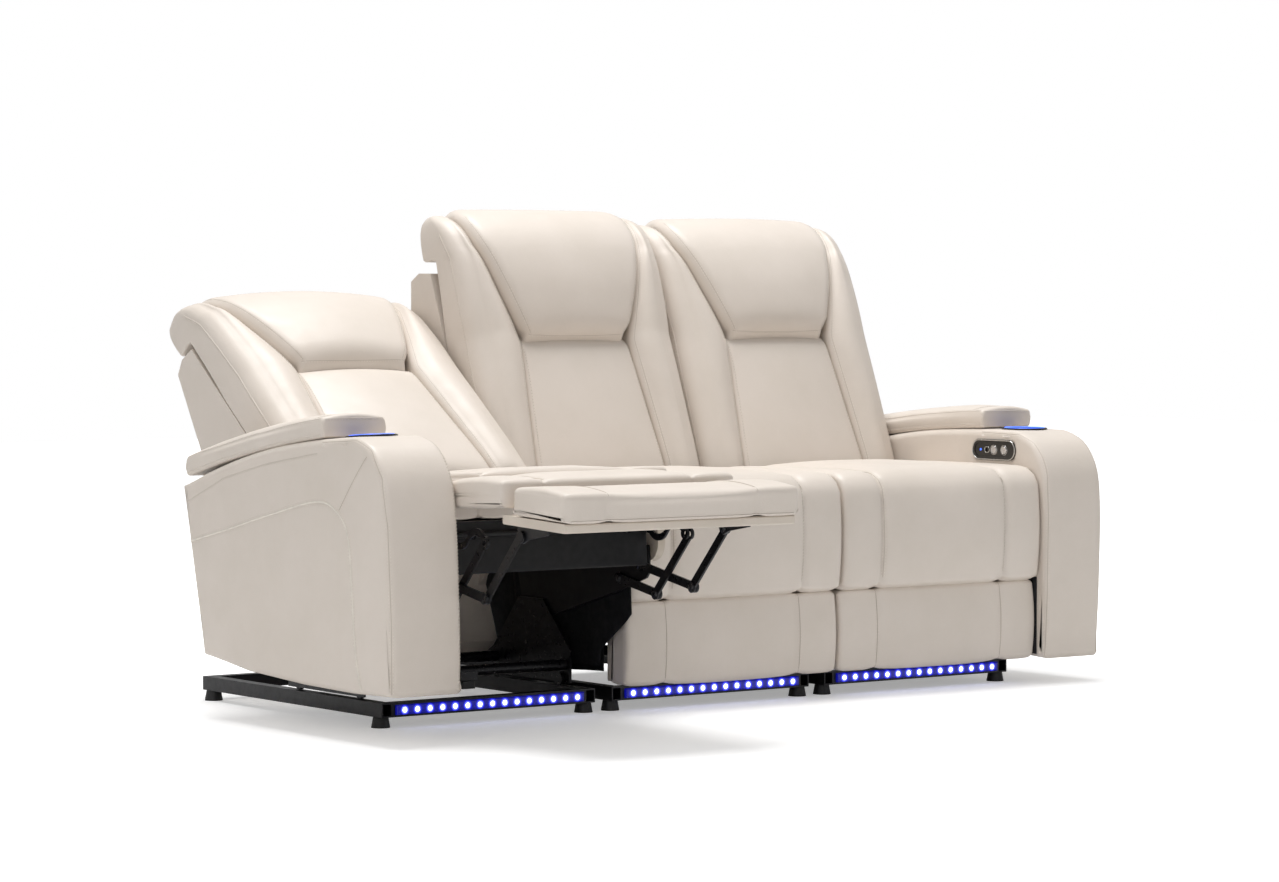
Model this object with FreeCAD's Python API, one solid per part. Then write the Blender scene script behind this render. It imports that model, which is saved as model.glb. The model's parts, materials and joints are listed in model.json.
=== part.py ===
# Three-seat power reclining sofa, in millimetres.
# The origin is on the floor, in the middle of the whole width and depth, with the left section open.
# The drawing below counts Y from the front faces of the closed arms, and is shifted when it is written.
# X runs to the right for someone looking at the sofa, Y to the back and Z up.
#
# The sofa is three sections side by side. Each section glides forward on its own floor frame,
# tips back a little, reclines its back and swings out its footrest. The outer sections carry
# the arms with them. The left section is drawn open, the other two closed.
import FreeCAD
import Part
import math
import os

os.makedirs("parts", exist_ok=True)

# Driving sizes: the whole sofa
seat_pitch = 580.0          # from one section's middle to the next
arm_width = 168.7
section_play = 1.0          # from a section's side to the line between two sections
rest_gap = 0.3              # between pieces that lie on each other
soft_gap = 3.0              # between a soft piece and its neighbour
depth_middle = 192.0        # from the closed arms' front faces to the middle of the whole depth

# Driving sizes: how far a section moves from closed to open
glide_travel = 222.0
tilt_angle = 4.5
recline_angle = 27.0
flap_angle = 88.0
board_angle = 83.0
headrest_raised = 6.0       # the middle headrest is tipped forward by this much at rest

# Driving sizes: floor frame
rail_width = 26.0
rail_height = 30.0
rail_wall = 3.0
foot_height = 22.0
foot_radius = 20.0
rail_middle = seat_pitch / 2 - 35.0     # from a section's middle to the middle of its side rail
frame_front = 100.0
frame_back = 830.0
foot_inset = 25.0
tie_inset = 90.0            # flat bars that join neighbouring frames
tie_width = 40.0
tie_height = 8.0
strip_length = 470.0
strip_height = 20.0
strip_depth = 8.0

# Driving sizes: drive motor and the rail of its lead screw
motor_width = 84.0
motor_front = 702.0
motor_low = 56.0
motor_tall = 70.0
screw_width = 30.0
screw_low = 60.0
screw_tall = 16.0
screw_front = 180.0
drive_block_gap = 2.0

# Driving sizes: glide carriage
plate = 5.0                 # thickness of every steel side plate and link
lane_gap = 2.0              # play between two plates that lie side by side
roller_radius = 14.0
roller_width = 8.0
carriage_front = 400.0
carriage_back = 700.0
carriage_top = 232.0
tube_radius = 12.0
tilt_y, tilt_z = 548.0, 200.0
pin_radius = 6.0
pin_play = 0.3

# Driving sizes: seat box
side_thick = 18.0
box_front = 88.0
box_back = 600.0
box_low = 300.0
deck_back = 548.0
box_corner = 40.0
cover_thick = 10.0
cover_low = 292.0
deck_thick = 12.0
deck_high = 398.0           # also the top edge of the side panels
cross_rod_y, cross_rod_z = 81.0, 371.0
cross_rod_radius = 6.5

# Driving sizes: seat cushion
seat_back = 466.0
seat_top = 492.0
seat_crown = 10.0
seat_nose = 30.0
seam_side = 181.0           # from a seat's middle to the seam of its centre panel

# Driving sizes: footrest flap, which hangs closed from its hinge below the seat's nose
flap_y, flap_z = 40.0, 450.0
flap_radius = 27.0
flap_low = 244.0
flap_bulge = 9.0

# Driving sizes: footrest board and pad, closed and upright below the flap
board_face = 84.0
board_thick = 18.0
board_low = 66.0
board_high = 280.0
pad_low = 58.0
pad_high = 239.0
pad_front = 29.0
pad_bulge = 9.0

# Driving sizes: footrest links. An angle of 0 points to the back and 90 points up.
link_width = 24.0
front_pivot = (145.0, 295.0)
front_length = 199.0
front_closed = 291.3
front_open = 194.9
long_open = 136.9
board_pivot_down = 25.0     # from the board's upper edge, and behind its face
board_pivot_behind = 42.0
rear_pivot = (216.0, 268.0)
rear_length = 140.0
cross_length = 177.0
bracket_long = 104.0
bracket_deep = 14.0

# Driving sizes: back, measured along a line that leans back from the seat
back_y, back_z = 485.0, 478.0
back_lean = 21.0
back_start = -40.0
wing_low_half = 183.0       # half the width of the lumbar panel at the seat
wing_high_half = 148.0      # and below the headrest
cushion_depth = 110.0
recline_y, recline_z = 635.0, 364.0
back_half = seat_pitch / 2 - 4.0
shell_rear = 868.0
shell_low = 202.0
shell_top = 935.0
bracket_radius = 20.0

# Driving sizes: headrest
head_pivot_up = 350.0
head_radius = 48.0
head_top = 655.0
head_pad_half = 236.0

# Driving sizes: arms
arm_low = 58.0
arm_high = 575.0
arm_edge = 34.0
box_wall = 24.0
store_front = 280.0
store_back = 735.0
store_floor = 300.0
lid_front = 222.0
lid_rear = 782.0
lid_thick = 44.0
lid_inset = 9.0
lid_hinge_drop = 1.0        # the lid hinge lies this far below the lid's outer lower edge
cup_y = 160.0
cup_radius = 42.0
cup_wall = 2.0
cup_depth = 72.0
cup_rim = 53.0
cup_rim_high = 3.0
panel_y, panel_z = 169.0, 529.0
panel_long = 150.0
panel_tall = 48.0
panel_depth = 16.0
panel_proud = 3.0
button_radius = 9.0
button_travel = 2.0
button_proud = 1.5

sections = {"left": -seat_pitch, "centre": 0.0, "right": seat_pitch}
half_box = seat_pitch / 2 - section_play
soft_half = seat_pitch / 2 - 4.0


def vec(x, y, z):
    return FreeCAD.Vector(x, y, z)


def box(x0, x1, y0, y1, z0, z1):
    return Part.makeBox(x1 - x0, y1 - y0, z1 - z0, vec(x0, y0, z0))


def rod(x0, x1, y, z, radius):
    return Part.makeCylinder(radius, x1 - x0, vec(x0, y, z), vec(1, 0, 0))


def side_profile(edges, x0, x1):
    """A flat outline in the YZ plane, given as lines and arcs, thickened from x0 to x1."""
    made = []
    for edge in edges:
        points = [vec(x0, y, z) for y, z in edge]
        if len(points) == 2:
            made.append(Part.LineSegment(*points).toShape())
        else:
            made.append(Part.Arc(*points).toShape())
    return Part.Face(Part.Wire(made)).extrude(vec(x1 - x0, 0, 0))


def polygon(points, x0, x1):
    closed = list(points) + [points[0]]
    return side_profile(list(zip(closed[:-1], closed[1:])), x0, x1)


def mirrored(solid, middle):
    """The piece and its twin on the other side of a section's middle."""
    return [solid, solid.mirror(vec(middle, 0, 0), vec(1, 0, 0))]


def rounded_wire(place, low, high, radii, bulges):
    """Four sides joined by corner arcs. place(a, b) gives the point in space.

    radii belong to the corners (low a, low b), (high a, low b), (high a, high b), (low a, high b).
    bulges say how far the sides at low b, high a, high b and low a stand out in their middle.
    """
    (a0, b0), (a1, b1) = low, high
    r0, r1, r2, r3 = radii
    cut = 1 - math.sqrt(0.5)
    ends = [
        ((a0 + r0, b0), (a1 - r1, b0), (0, -1)),
        ((a1, b0 + r1), (a1, b1 - r2), (1, 0)),
        ((a1 - r2, b1), (a0 + r3, b1), (0, 1)),
        ((a0, b1 - r3), (a0, b0 + r0), (-1, 0)),
    ]
    corners = [
        (a1 - r1 * cut, b0 + r1 * cut),
        (a1 - r2 * cut, b1 - r2 * cut),
        (a0 + r3 * cut, b1 - r3 * cut),
        (a0 + r0 * cut, b0 + r0 * cut),
    ]
    edges = []
    for i, (start, end, out) in enumerate(ends):
        mid = ((start[0] + end[0]) / 2 + out[0] * bulges[i], (start[1] + end[1]) / 2 + out[1] * bulges[i])
        if bulges[i]:
            edges.append(Part.Arc(place(*start), place(*mid), place(*end)).toShape())
        else:
            edges.append(Part.LineSegment(place(*start), place(*end)).toShape())
        after = ends[(i + 1) % 4][0]
        edges.append(Part.Arc(place(*end), place(*corners[i]), place(*after)).toShape())
    return Part.Wire(edges)


def loft(wires):
    return Part.makeLoft(wires, True, False)


def write(name, solids):
    shape = solids[0] if len(solids) == 1 else Part.makeCompound(solids)
    shape.translated(vec(0, -depth_middle, 0)).exportStep("parts/" + name + ".step")


# Where the pieces of a section go when it opens. Every piece is drawn closed and then moved.
def turned(shapes, y, z, degrees):
    """Turn about a cross axis. Positive tips the top of the piece backwards."""
    for shape in shapes:
        shape.rotate(vec(0, y, z), vec(1, 0, 0), -degrees)
    return shapes


def moved(shapes, y, z):
    for shape in shapes:
        shape.translate(vec(0, y, z))
    return shapes


def open_section(shapes):
    """From the closed section to the open one: glide forward, then tip back on the carriage."""
    return turned(moved(shapes, -glide_travel, 0), tilt_y - glide_travel, tilt_z, tilt_angle)


# Footrest linkage, worked out for the closed section
def along(start, length, degrees):
    angle = math.radians(degrees)
    return (start[0] + length * math.cos(angle), start[1] + length * math.sin(angle))


def direction(start, end):
    return math.degrees(math.atan2(end[1] - start[1], end[0] - start[0]))


board_pivot = (board_face + board_pivot_behind, board_high - board_pivot_down)
front_knee = along(front_pivot, front_length, front_closed)
long_length = math.dist(front_knee, board_pivot)
long_closed = direction(front_knee, board_pivot)
rear_knee = along(rear_pivot, rear_length, front_closed)
cross_end = along(rear_knee, cross_length, long_closed)
cross_rod = (cross_rod_y, cross_rod_z)
s_closed = direction(cross_rod, cross_end) + 360.0
s_length = math.dist(cross_rod, cross_end)
front_turn = front_closed - front_open
long_turn = long_closed - long_open
open_rear_knee = along(rear_pivot, rear_length, front_open)
open_cross_end = along(open_rear_knee, cross_length, long_open)
s_turn = s_closed - direction(cross_rod, open_cross_end) - 360.0


def lane(number, middle):
    """The X range of one layer of plates. Lane 0 lies outside, beside the section's side panel."""
    outer = middle + half_box - side_thick - lane_gap - number * (plate + lane_gap)
    return outer - plate, outer


def link(start, end, number, middle, pins=(), holes=()):
    """A flat link with round ends. It carries rivets out to the next lane and has holes for others."""
    x0, x1 = lane(number, middle)
    radius = link_width / 2
    length = math.dist(start, end)
    bar = box(x0, x1, 0, length, -radius * 0.75, radius * 0.75)
    bar = bar.fuse([rod(x0, x1, 0, 0, radius), rod(x0, x1, length, 0, radius)]).removeSplitter()
    bar.rotate(vec(0, 0, 0), vec(1, 0, 0), direction(start, end))
    bar.translate(vec(0, *start))
    for y, z in holes:
        bar = bar.cut(rod(x0 - 1, x1 + 1, y, z, pin_radius + pin_play))
    for (y, z), side in pins:
        reach = plate + lane_gap
        low, high = (x0, x1 + reach) if side > 0 else (x0 - reach, x1)
        bar = bar.fuse(rod(low, high, y, z, pin_radius))
    return bar.removeSplitter()


def front_links(middle):
    return mirrored(link(front_pivot, front_knee, 1, middle, [(front_pivot, 1), (front_knee, -1)]), middle)


def long_links(middle):
    return mirrored(link(front_knee, board_pivot, 2, middle, [(board_pivot, -1)], [front_knee]), middle)


def rear_links(middle):
    return mirrored(link(rear_pivot, rear_knee, 1, middle, [(rear_pivot, 1), (rear_knee, -1)]), middle)


def cross_links(middle):
    return mirrored(link(rear_knee, cross_end, 2, middle, [], [rear_knee, cross_end]), middle)


def s_links(middle):
    """Two arcs that bend opposite ways, from the cross rod to the end of the cross link."""
    x0, x1 = lane(3, middle)
    half = link_width * 0.3
    step = s_length / 2
    bend = s_length * 0.14
    upper = [((0, half), (step / 2, bend + half), (step, half)), ((step, half), (step * 1.5, half - bend), (s_length, half))]
    lower = [((s_length, -half), (step * 1.5, -half - bend), (step, -half)), ((step, -half), (step / 2, bend - half), (0, -half))]
    sides = [((s_length, half), (s_length, -half)), ((0, -half), (0, half))]
    bar = side_profile(upper + [sides[0]] + lower + [sides[1]], x0, x1)
    bar = bar.fuse([rod(x0, x1, 0, 0, link_width / 2), rod(x0, x1, s_length, 0, link_width / 2)])
    bar = bar.cut(rod(x0 - 1, x1 + 1, 0, 0, cross_rod_radius * 0.75 + pin_play))
    bar = bar.cut(rod(x0 - 1, x1 + 1, s_length, 0, pin_radius)).removeSplitter()
    bar.rotate(vec(0, 0, 0), vec(1, 0, 0), s_closed)
    bar.translate(vec(0, *cross_rod))
    return mirrored(bar, middle)


# Floor frame
def floor_frame(middle):
    """Two hollow side rails between a front and a back cross rail."""
    solids = []
    z0, z1 = foot_height, foot_height + rail_height
    inner = rail_middle - rail_width / 2
    for side in (-1, 1):
        x0 = middle + side * rail_middle - rail_width / 2
        rail = box(x0, x0 + rail_width, frame_front, frame_back, z0, z1)
        bore = box(x0 + rail_wall, x0 + rail_width - rail_wall, frame_front, frame_back, z0 + rail_wall, z1 - rail_wall)
        solids.append(rail.cut(bore))
    for y0 in (frame_front, frame_back - rail_width):
        solids.append(box(middle - inner, middle + inner, y0, y0 + rail_width, z0, z1))
    return solids


def frame_ties(middle):
    """Flat bars that join a floor frame to its right neighbour."""
    x0 = middle + rail_middle + rail_width / 2
    x1 = middle + seat_pitch - rail_middle - rail_width / 2
    z0 = foot_height + (rail_height - tie_height) / 2
    spots = (frame_front + tie_inset, frame_back - tie_inset - tie_width)
    return [box(x0, x1, y, y + tie_width, z0, z0 + tie_height) for y in spots]


def feet(middle):
    """Tapered glides under the four corners of a floor frame."""
    solids = []
    for side in (-1, 1):
        for y in (frame_front + foot_inset, frame_back - foot_inset):
            spot = vec(middle + side * rail_middle, y, 0)
            foot = Part.makeCone(foot_radius, foot_radius * 0.8, foot_height, spot)
            solids.append(foot.makeFillet(2.0, [foot.Edges[0]]))
    return solids


def light_strip(middle):
    """A slim light bar on the front face of the front cross rail."""
    z0 = foot_height + (rail_height - strip_height) / 2
    half = strip_length / 2
    bar = box(middle - half, middle + half, frame_front - strip_depth, frame_front, z0, z0 + strip_height)
    edges = [e for e in bar.Edges if abs(e.CenterOfMass.y - (frame_front - strip_depth)) < 0.01]
    return bar.makeFillet(3.0, edges)


def drive_motor(middle):
    """A gearbox on the back cross rail, with the rail of its lead screw running forward."""
    back = frame_back - 2.0
    body = box(middle - motor_width / 2, middle + motor_width / 2, motor_front, back, motor_low, motor_low + motor_tall)
    body = body.makeFillet(9.0, [e for e in body.Edges if abs(e.tangentAt(e.FirstParameter).y) > 0.9])
    can = rod(middle + motor_width / 2 - 4, middle + motor_width / 2 + 62, motor_front + 40, motor_low + 36, 24.0)
    rail = box(middle - screw_width / 2, middle + screw_width / 2, screw_front, motor_front, screw_low, screw_low + screw_tall)
    slot = box(middle - 5, middle + 5, screw_front + 20, motor_front - 20, screw_low + 6, screw_low + screw_tall)
    foot = box(middle - 30, middle + 30, back - 40, back, foot_height + rail_height, motor_low)
    return body.fuse([can, rail.cut(slot), foot]).removeSplitter()


# Glide carriage, which rolls on the floor frame's side rails
def glide_carriage(middle):
    rail_top = foot_height + rail_height
    roll_z = rail_top + rest_gap + roller_radius
    x0, x1 = lane(1, middle)
    low = rail_top + 6.0
    outline = [
        (carriage_front, low), (carriage_back, low), (carriage_back, low + 50), (tilt_y + 46, carriage_top),
        (tilt_y - 46, carriage_top), (carriage_front, low + 70),
    ]
    side = polygon(outline, x0, x1)
    side = side.fuse(rod(x0, x1 + plate + lane_gap, tilt_y, tilt_z, pin_radius + 2))
    for y in (carriage_front + 30, carriage_back - 30):
        side = side.fuse(rod(x0 - lane_gap - roller_width, x0, y, roll_z, pin_radius))
    solids = mirrored(side.removeSplitter(), middle)
    for y in (carriage_front + 30, carriage_back - 30):
        wheel = rod(x0 - lane_gap - roller_width, x0 - lane_gap, y, roll_z, roller_radius)
        wheel = wheel.cut(rod(x0 - lane_gap - roller_width - 1, x0, y, roll_z, pin_radius))
        solids += mirrored(wheel, middle)
    for y in (carriage_front + 20, carriage_back - 20):
        solids.append(rod(2 * middle - x0, x0, y, low + 38, tube_radius))
    block_low = screw_low + screw_tall + drive_block_gap
    y = carriage_front + 20
    block = box(middle - 22, middle + 22, y - 18, y + 18, block_low, low + 38)
    solids[-2] = solids[-2].fuse(block).removeSplitter()
    return solids


# Seat box, with the black cover on its front and the steel plates that carry the links
def seat_frame(middle):
    x1 = middle + half_box
    x0 = x1 - side_thick
    lug = 24.0
    edges = [
        ((box_front + box_corner, box_low), (recline_y + lug, box_low)),
        ((recline_y + lug, box_low), (recline_y + lug, recline_z)),
        ((recline_y + lug, recline_z), (recline_y + lug * 0.7071, recline_z + lug * 0.7071), (recline_y, recline_z + lug)),
        ((recline_y, recline_z + lug), (box_back, recline_z + lug)),
        ((box_back, recline_z + lug), (box_back, deck_high)),
        ((box_back, deck_high), (box_front, deck_high)),
        ((box_front, deck_high), (box_front, box_low + box_corner)),
        ((box_front, box_low + box_corner),
         (box_front + box_corner * 0.2929, box_low + box_corner * 0.2929), (box_front + box_corner, box_low)),
    ]
    panel = side_profile(edges, x0, x1).cut(rod(x0 - 1, x1 + 1, recline_y, recline_z, pin_radius + 2 + pin_play))
    solids = mirrored(panel, middle)
    p0, p1 = lane(0, middle)
    outline = [(front_pivot[0] - 30, front_pivot[1] - 18), (front_pivot[0] - 18, front_pivot[1] - 30),
               (rear_pivot[0], rear_pivot[1] - 26), (tilt_y - 30, tilt_z - 16), (tilt_y - 18, tilt_z - 26),
               (tilt_y + 18, tilt_z - 26), (tilt_y + 30, tilt_z - 16), (tilt_y + 60, box_low + 34), (front_pivot[0] - 30, box_low + 34)]
    steel = polygon(outline, p0, p1)
    for y, z in (front_pivot, rear_pivot):
        steel = steel.cut(rod(p0 - 1, p1 + 1, y, z, pin_radius + pin_play))
    steel = steel.cut(rod(p0 - 1, p1 + 1, tilt_y, tilt_z, pin_radius + 2 + pin_play))
    for y in (box_front + 110, box_back - 30):
        steel = steel.fuse(rod(p1 - 0.5, x0, y, box_low + 18, 10.0))
    solids += mirrored(steel.removeSplitter(), middle)
    inner = lane(3, middle)[0] - lane_gap - middle
    cover = box(middle - inner, middle + inner, box_front, box_front + cover_thick, cover_low, deck_high)
    nose = [e for e in cover.Edges if abs(e.CenterOfMass.z - cover_low) < 0.01 and abs(e.tangentAt(e.FirstParameter).x) > 0.9]
    solids.append(cover.makeFillet(4.0, nose))
    deck_low = deck_high - deck_thick
    deck_half = x0 - middle
    solids.append(box(middle - deck_half, middle + deck_half, box_front + cover_thick, deck_back, deck_low, deck_high))
    solids.append(rod(2 * middle - x0, x0, deck_back - 40, deck_low - tube_radius, tube_radius))
    reach = lane(3, middle)[1] - middle
    torque = rod(middle - inner, middle + inner, cross_rod_y, cross_rod_z, cross_rod_radius)
    torque = torque.fuse(rod(middle - reach - 2, middle + reach + 2, cross_rod_y, cross_rod_z, cross_rod_radius * 0.75))
    for side in (-1, 1):
        spot = middle + side * (inner - 40)
        torque = torque.fuse(box(spot - 8, spot + 8, cross_rod_y, box_front, cross_rod_z - 7, cross_rod_z + 7))
    solids.append(torque.removeSplitter())
    return solids


# Soft pieces of the seat and footrest, lofted across the section's width
def across(middle, half, shape_at):
    """Loft from one side to the other. The sides are drawn in and the two seams are sunk."""
    seam = seam_side / soft_half * half
    spots = [(-half, 14.0), (-half + 10, 5.0), (-half + 34, 1.0), (-seam, 2.6), (-seam * 0.55, 0.7)]
    spots += [(0.0, 0.0)] + [(-x, inset) for x, inset in reversed(spots)]
    return loft([shape_at(middle + x, inset) for x, inset in spots])


def seat_cushion(middle):
    nose = (flap_y + flap_radius + soft_gap, deck_high + rest_gap)

    def shape_at(x, inset):
        low = (nose[0] - 18, nose[1])
        high = (seat_back, seat_top - inset)
        radii = (6.0, 6.0, 18.0, seat_nose)
        return rounded_wire(lambda a, b: vec(x, a, b), low, high, radii, (0, 0, seat_crown - inset * 0.5, 0))

    cushion = across(middle, soft_half, shape_at)
    hollow = rod(middle - soft_half - 1, middle + soft_half + 1, flap_y, flap_z, flap_radius + rest_gap)
    under = box(middle - soft_half - 1, middle + soft_half + 1, 0, flap_y + flap_radius + soft_gap, 0, flap_z)
    return cushion.cut(hollow).cut(under)


def footrest_flap(middle):
    """A pad with a round upper end, which turns in the hollow of the seat's nose."""
    def shape_at(x, inset):
        low = (flap_y - flap_radius + inset * 0.4, flap_low + inset * 0.6)
        high = (flap_y + flap_radius, flap_z + flap_radius - inset * 0.4)
        round_end = flap_radius - 0.05 - inset * 0.2
        radii = (16.0, 5.0, round_end, round_end)
        bulges = (0, 0, 0, max(flap_bulge - inset, 1.0))
        return rounded_wire(lambda a, b: vec(x, a, b), low, high, radii, bulges)

    return across(middle, soft_half, shape_at)


def footrest_pad(middle):
    def shape_at(x, inset):
        low = (pad_front + inset * 0.8, pad_low + inset * 0.3)
        high = (board_face - rest_gap, pad_high - inset * 0.3)
        radii = (22.0, 5.0, 5.0, 18.0)
        bulges = (0, 0, 0, max(pad_bulge - inset, 1.0))
        return rounded_wire(lambda a, b: vec(x, a, b), low, high, radii, bulges)

    return across(middle, soft_half, shape_at)


def footrest_board(middle):
    """A covered board with an angle bracket at each side for the long links."""
    half = soft_half - 8.0
    back = board_face + board_thick
    board = box(middle - half, middle + half, board_face, back, board_low, board_high)
    upright = [e for e in board.Edges if abs(e.tangentAt(e.FirstParameter).x) > 0.9]
    board = board.makeFillet(4.0, upright)
    x0, x1 = lane(3, middle)
    y, z = board_pivot
    top = board_high - 6.0
    outline = [(back, top), (y, z + bracket_deep), (y + bracket_deep, z), (y + 4, z - bracket_deep - 6),
               (back + bracket_deep, top - bracket_long), (back, top - bracket_long)]
    ear = polygon(outline, x0, x1).cut(rod(x0 - 1, x1 + 1, y, z, pin_radius + pin_play))
    flange = box(x0 - 26, x0, back, back + 3, top - bracket_long, top)
    for k in range(3):
        hole = Part.makeCylinder(4.0, 9.0, vec(x0 - 14, back - 3, top - 20 - k * 30), vec(0, 1, 0))
        flange = flange.cut(hole)
    return [board] + mirrored(ear.fuse(flange).removeSplitter(), middle)


# Back, drawn in its own leaning frame: up along the lean, out towards the sitter
def lean_point(x, up, out):
    lean = math.radians(back_lean)
    y = back_y + up * math.sin(lean) - out * math.cos(lean)
    return vec(x, y, back_z + up * math.cos(lean) + out * math.sin(lean))


def lean_yz(up, out):
    point = lean_point(0, up, out)
    return (point.y, point.z)


head_out = -3.0 - head_radius
head_y, head_z = lean_yz(head_pivot_up, head_out)


def panel_half(up):
    """Half the width of the middle panel, which narrows up to the headrest."""
    share = (up - back_start) / (head_pivot_up - back_start)
    return wing_low_half + (wing_high_half - wing_low_half) * share


def bolster(stations):
    """Loft up the lean. A station is up, low x, high x, front, rear, corner radius and crown."""
    wires = []
    for up, x0, x1, front, rear, radius, crown in stations:
        radii = (6.0, 6.0, radius, radius)
        wires.append(rounded_wire(lambda a, b, u=up: lean_point(a, u, b), (x0, rear), (x1, front), radii, (0, 0, crown, 0)))
    return loft(wires)


def back_cushion(middle):
    """The lumbar panel and the two side wings, each a crowned pad that meets its neighbour."""
    rear = -cushion_depth
    spots = [(back_start, 22.0), (back_start + 18, 8.0), (back_start + 70, 1.0), (160.0, 0.0), (285.0, 0.5), (325.0, 11.0), (342.0, 20.0)]
    lumbar = []
    wing = []
    for up, inset in spots:
        half = panel_half(up)
        lumbar.append((up, middle - half + 0.5, middle + half - 0.5, -10.0 - inset, rear, 12.0, 14.0 - inset * 0.3))
        wing.append((up, middle + half + 0.5, middle + back_half, -9.0 - inset, rear, 26.0, 10.0 - inset * 0.2))
    hollow = rod(middle - seat_pitch, middle + seat_pitch, head_y, head_z, head_radius + rest_gap)
    return [bolster(lumbar).cut(hollow)] + [part.cut(hollow) for part in mirrored(bolster(wing), middle)]


def headrest(middle):
    """A pad between two wing tops. Its lower end is round about the headrest's pivot."""
    r = head_radius
    lip = -154.0
    base = head_pivot_up
    rows = [
        (base - r * 0.98, head_out + r * 0.2, head_out - r * 0.2), (base - r * 0.8, head_out + r * 0.6, head_out - r * 0.6),
        (base - r * 0.45, head_out + r * 0.89, head_out - r * 0.89), (base, head_out + r, head_out - r),
        (base + 30.0, head_out + r, head_out - r), (440.0, -4.0, head_out - r - 1), (530.0, -12.0, head_out - r - 3), (560.0, -20.0, lip), (600.0, -40.0, lip),
        (635.0, -74.0, lip + 6), (head_top, -112.0, lip + 26),
    ]
    pad = []
    wing = []
    for up, front, rear in rows:
        share = min(max((up - base) / 180.0, 0.0), 1.0)
        half = wing_high_half + (head_pad_half - wing_high_half) * share
        thin = front - rear
        small = min(thin * 0.3, 20.0)
        proud = 3.0 if up < base + 31 else 12.0 if up < 600 else 20.0
        crown = 0.2 if up < base + 1 else 4.0 if up < base + 31 else 14.0
        rise = 12.0 if up > 620 else 0.0
        radii_in = min(6.0, thin * 0.2)
        pad.append((up + rise, middle - half + 0.5, middle + half - 0.5, front + (proud if up > base else 0), rear, small, crown, radii_in))
        outer = middle + back_half - (14.0 if up > 640 else 6.0 if up > 630 else 0.0)
        wing.append((up - (8.0 if up > 640 else 0), middle + half + 0.5, outer, front - 2.0, rear, min(small, 16.0), min(crown, 6.0), radii_in))

    def build(rows_of):
        wires = []
        for up, x0, x1, front, rear, radius, crown, inner in rows_of:
            radii = (inner, inner, radius, radius)
            wires.append(rounded_wire(lambda a, b, u=up: lean_point(a, u, b), (x0, rear), (x1, front), radii, (0, 0, crown, 0)))
        return Part.makeLoft(wires, True, True)

    return [build(pad)] + mirrored(build(wing), middle)


def back_shell(middle):
    """The covered body behind the cushions, and the steel lugs that it turns on."""
    front = -cushion_depth - rest_gap
    foot = lean_yz(back_start, front)
    slit = lean_yz(531.0, front)
    top_y = lean_yz(560.0, -150.0)[0]
    points = [
        foot, slit, (top_y, shell_top), (shell_rear, shell_top - 24), (shell_rear, shell_low),
        (shell_rear - 54, shell_low), (shell_rear - 78, recline_z - 34), (recline_y + 66, recline_z + 40),
    ]
    body = polygon(points, middle - back_half + 1, middle + back_half - 1)
    sides = [e for e in body.Edges if abs(e.tangentAt(e.FirstParameter).x) < 0.1 and e.CenterOfMass.y > shell_rear - 2]
    body = body.makeFillet(14.0, sides)
    gap = body.cut(rod(middle - seat_pitch, middle + seat_pitch, head_y, head_z, head_radius + soft_gap))
    x0, x1 = lane(0, middle)
    lug = rod(x0, x1, recline_y, recline_z, bracket_radius)
    arm = polygon([(recline_y - 4, recline_z + bracket_radius * 0.95), (recline_y - 4, recline_z - bracket_radius * 0.95),
                   points[6], points[7]], x0, x1)
    pin = rod(x1 - 1, middle + half_box - 1, recline_y, recline_z, pin_radius + 2)
    steel = lug.fuse([arm, pin]).removeSplitter()
    return [gap] + mirrored(steel, middle)


# Arms. Both are drawn for the right side and mirrored for the left.
arm_inner = seat_pitch * 1.5 - section_play + rest_gap
arm_outer = arm_inner + arm_width
arm_middle = (arm_inner + arm_outer) / 2


def arm_body():
    top = arm_high
    skin = [
        (0, arm_low), (-8, arm_low + 90), (-13, 260), (-15, 400), (-4, 488), (34, top - 30), (90, top - 4),
        (135, top - 0.5), (200, top), (260, top), (400, top - 6), (530, top - 20), (660, top - 42), (785, top - 70),
    ]
    curve = Part.BSplineCurve()
    curve.interpolate([vec(arm_inner, y, z) for y, z in skin])
    under = [(785, top - 70), (727, arm_low + 89), (556, arm_low + 54), (339, arm_low + 26), (149, arm_low + 8), (0, arm_low)]
    edges = [curve.toShape()]
    for start, end in zip(under[:-1], under[1:]):
        edges.append(Part.LineSegment(vec(arm_inner, *start), vec(arm_inner, *end)).toShape())
    body = Part.Face(Part.Wire(edges)).extrude(vec(arm_width, 0, 0))
    rolled = [e for e in body.Edges if e.BoundBox.XLength < 0.1 and e.Length > 900]
    body = body.makeFillet(arm_edge, rolled)
    store = box(arm_inner + box_wall, arm_outer - box_wall, store_front, store_back, store_floor, arm_high + 10)
    cup = Part.makeCylinder(cup_radius + rest_gap, cup_depth + rest_gap + 20, vec(arm_middle, cup_y, arm_high - cup_depth - rest_gap))
    half = panel_long / 2
    r = panel_tall / 2
    pocket = stadium(arm_inner - 1, arm_inner + panel_depth + rest_gap, half - 6 + rest_gap, r - 4 + rest_gap)
    return body.cut(store).cut(cup).cut(pocket)


def stadium(x0, x1, half, radius):
    """An upright plate with round ends on the arm's inner face, about the control panel's middle."""
    straight = half - radius
    plate_box = box(x0, x1, panel_y - straight, panel_y + straight, panel_z - radius, panel_z + radius)
    ends = [rod(x0, x1, panel_y + side * straight, panel_z, radius) for side in (-1, 1)]
    return plate_box.fuse(ends).removeSplitter()


def button_spots():
    return [panel_y - 35.0, panel_y]


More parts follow.
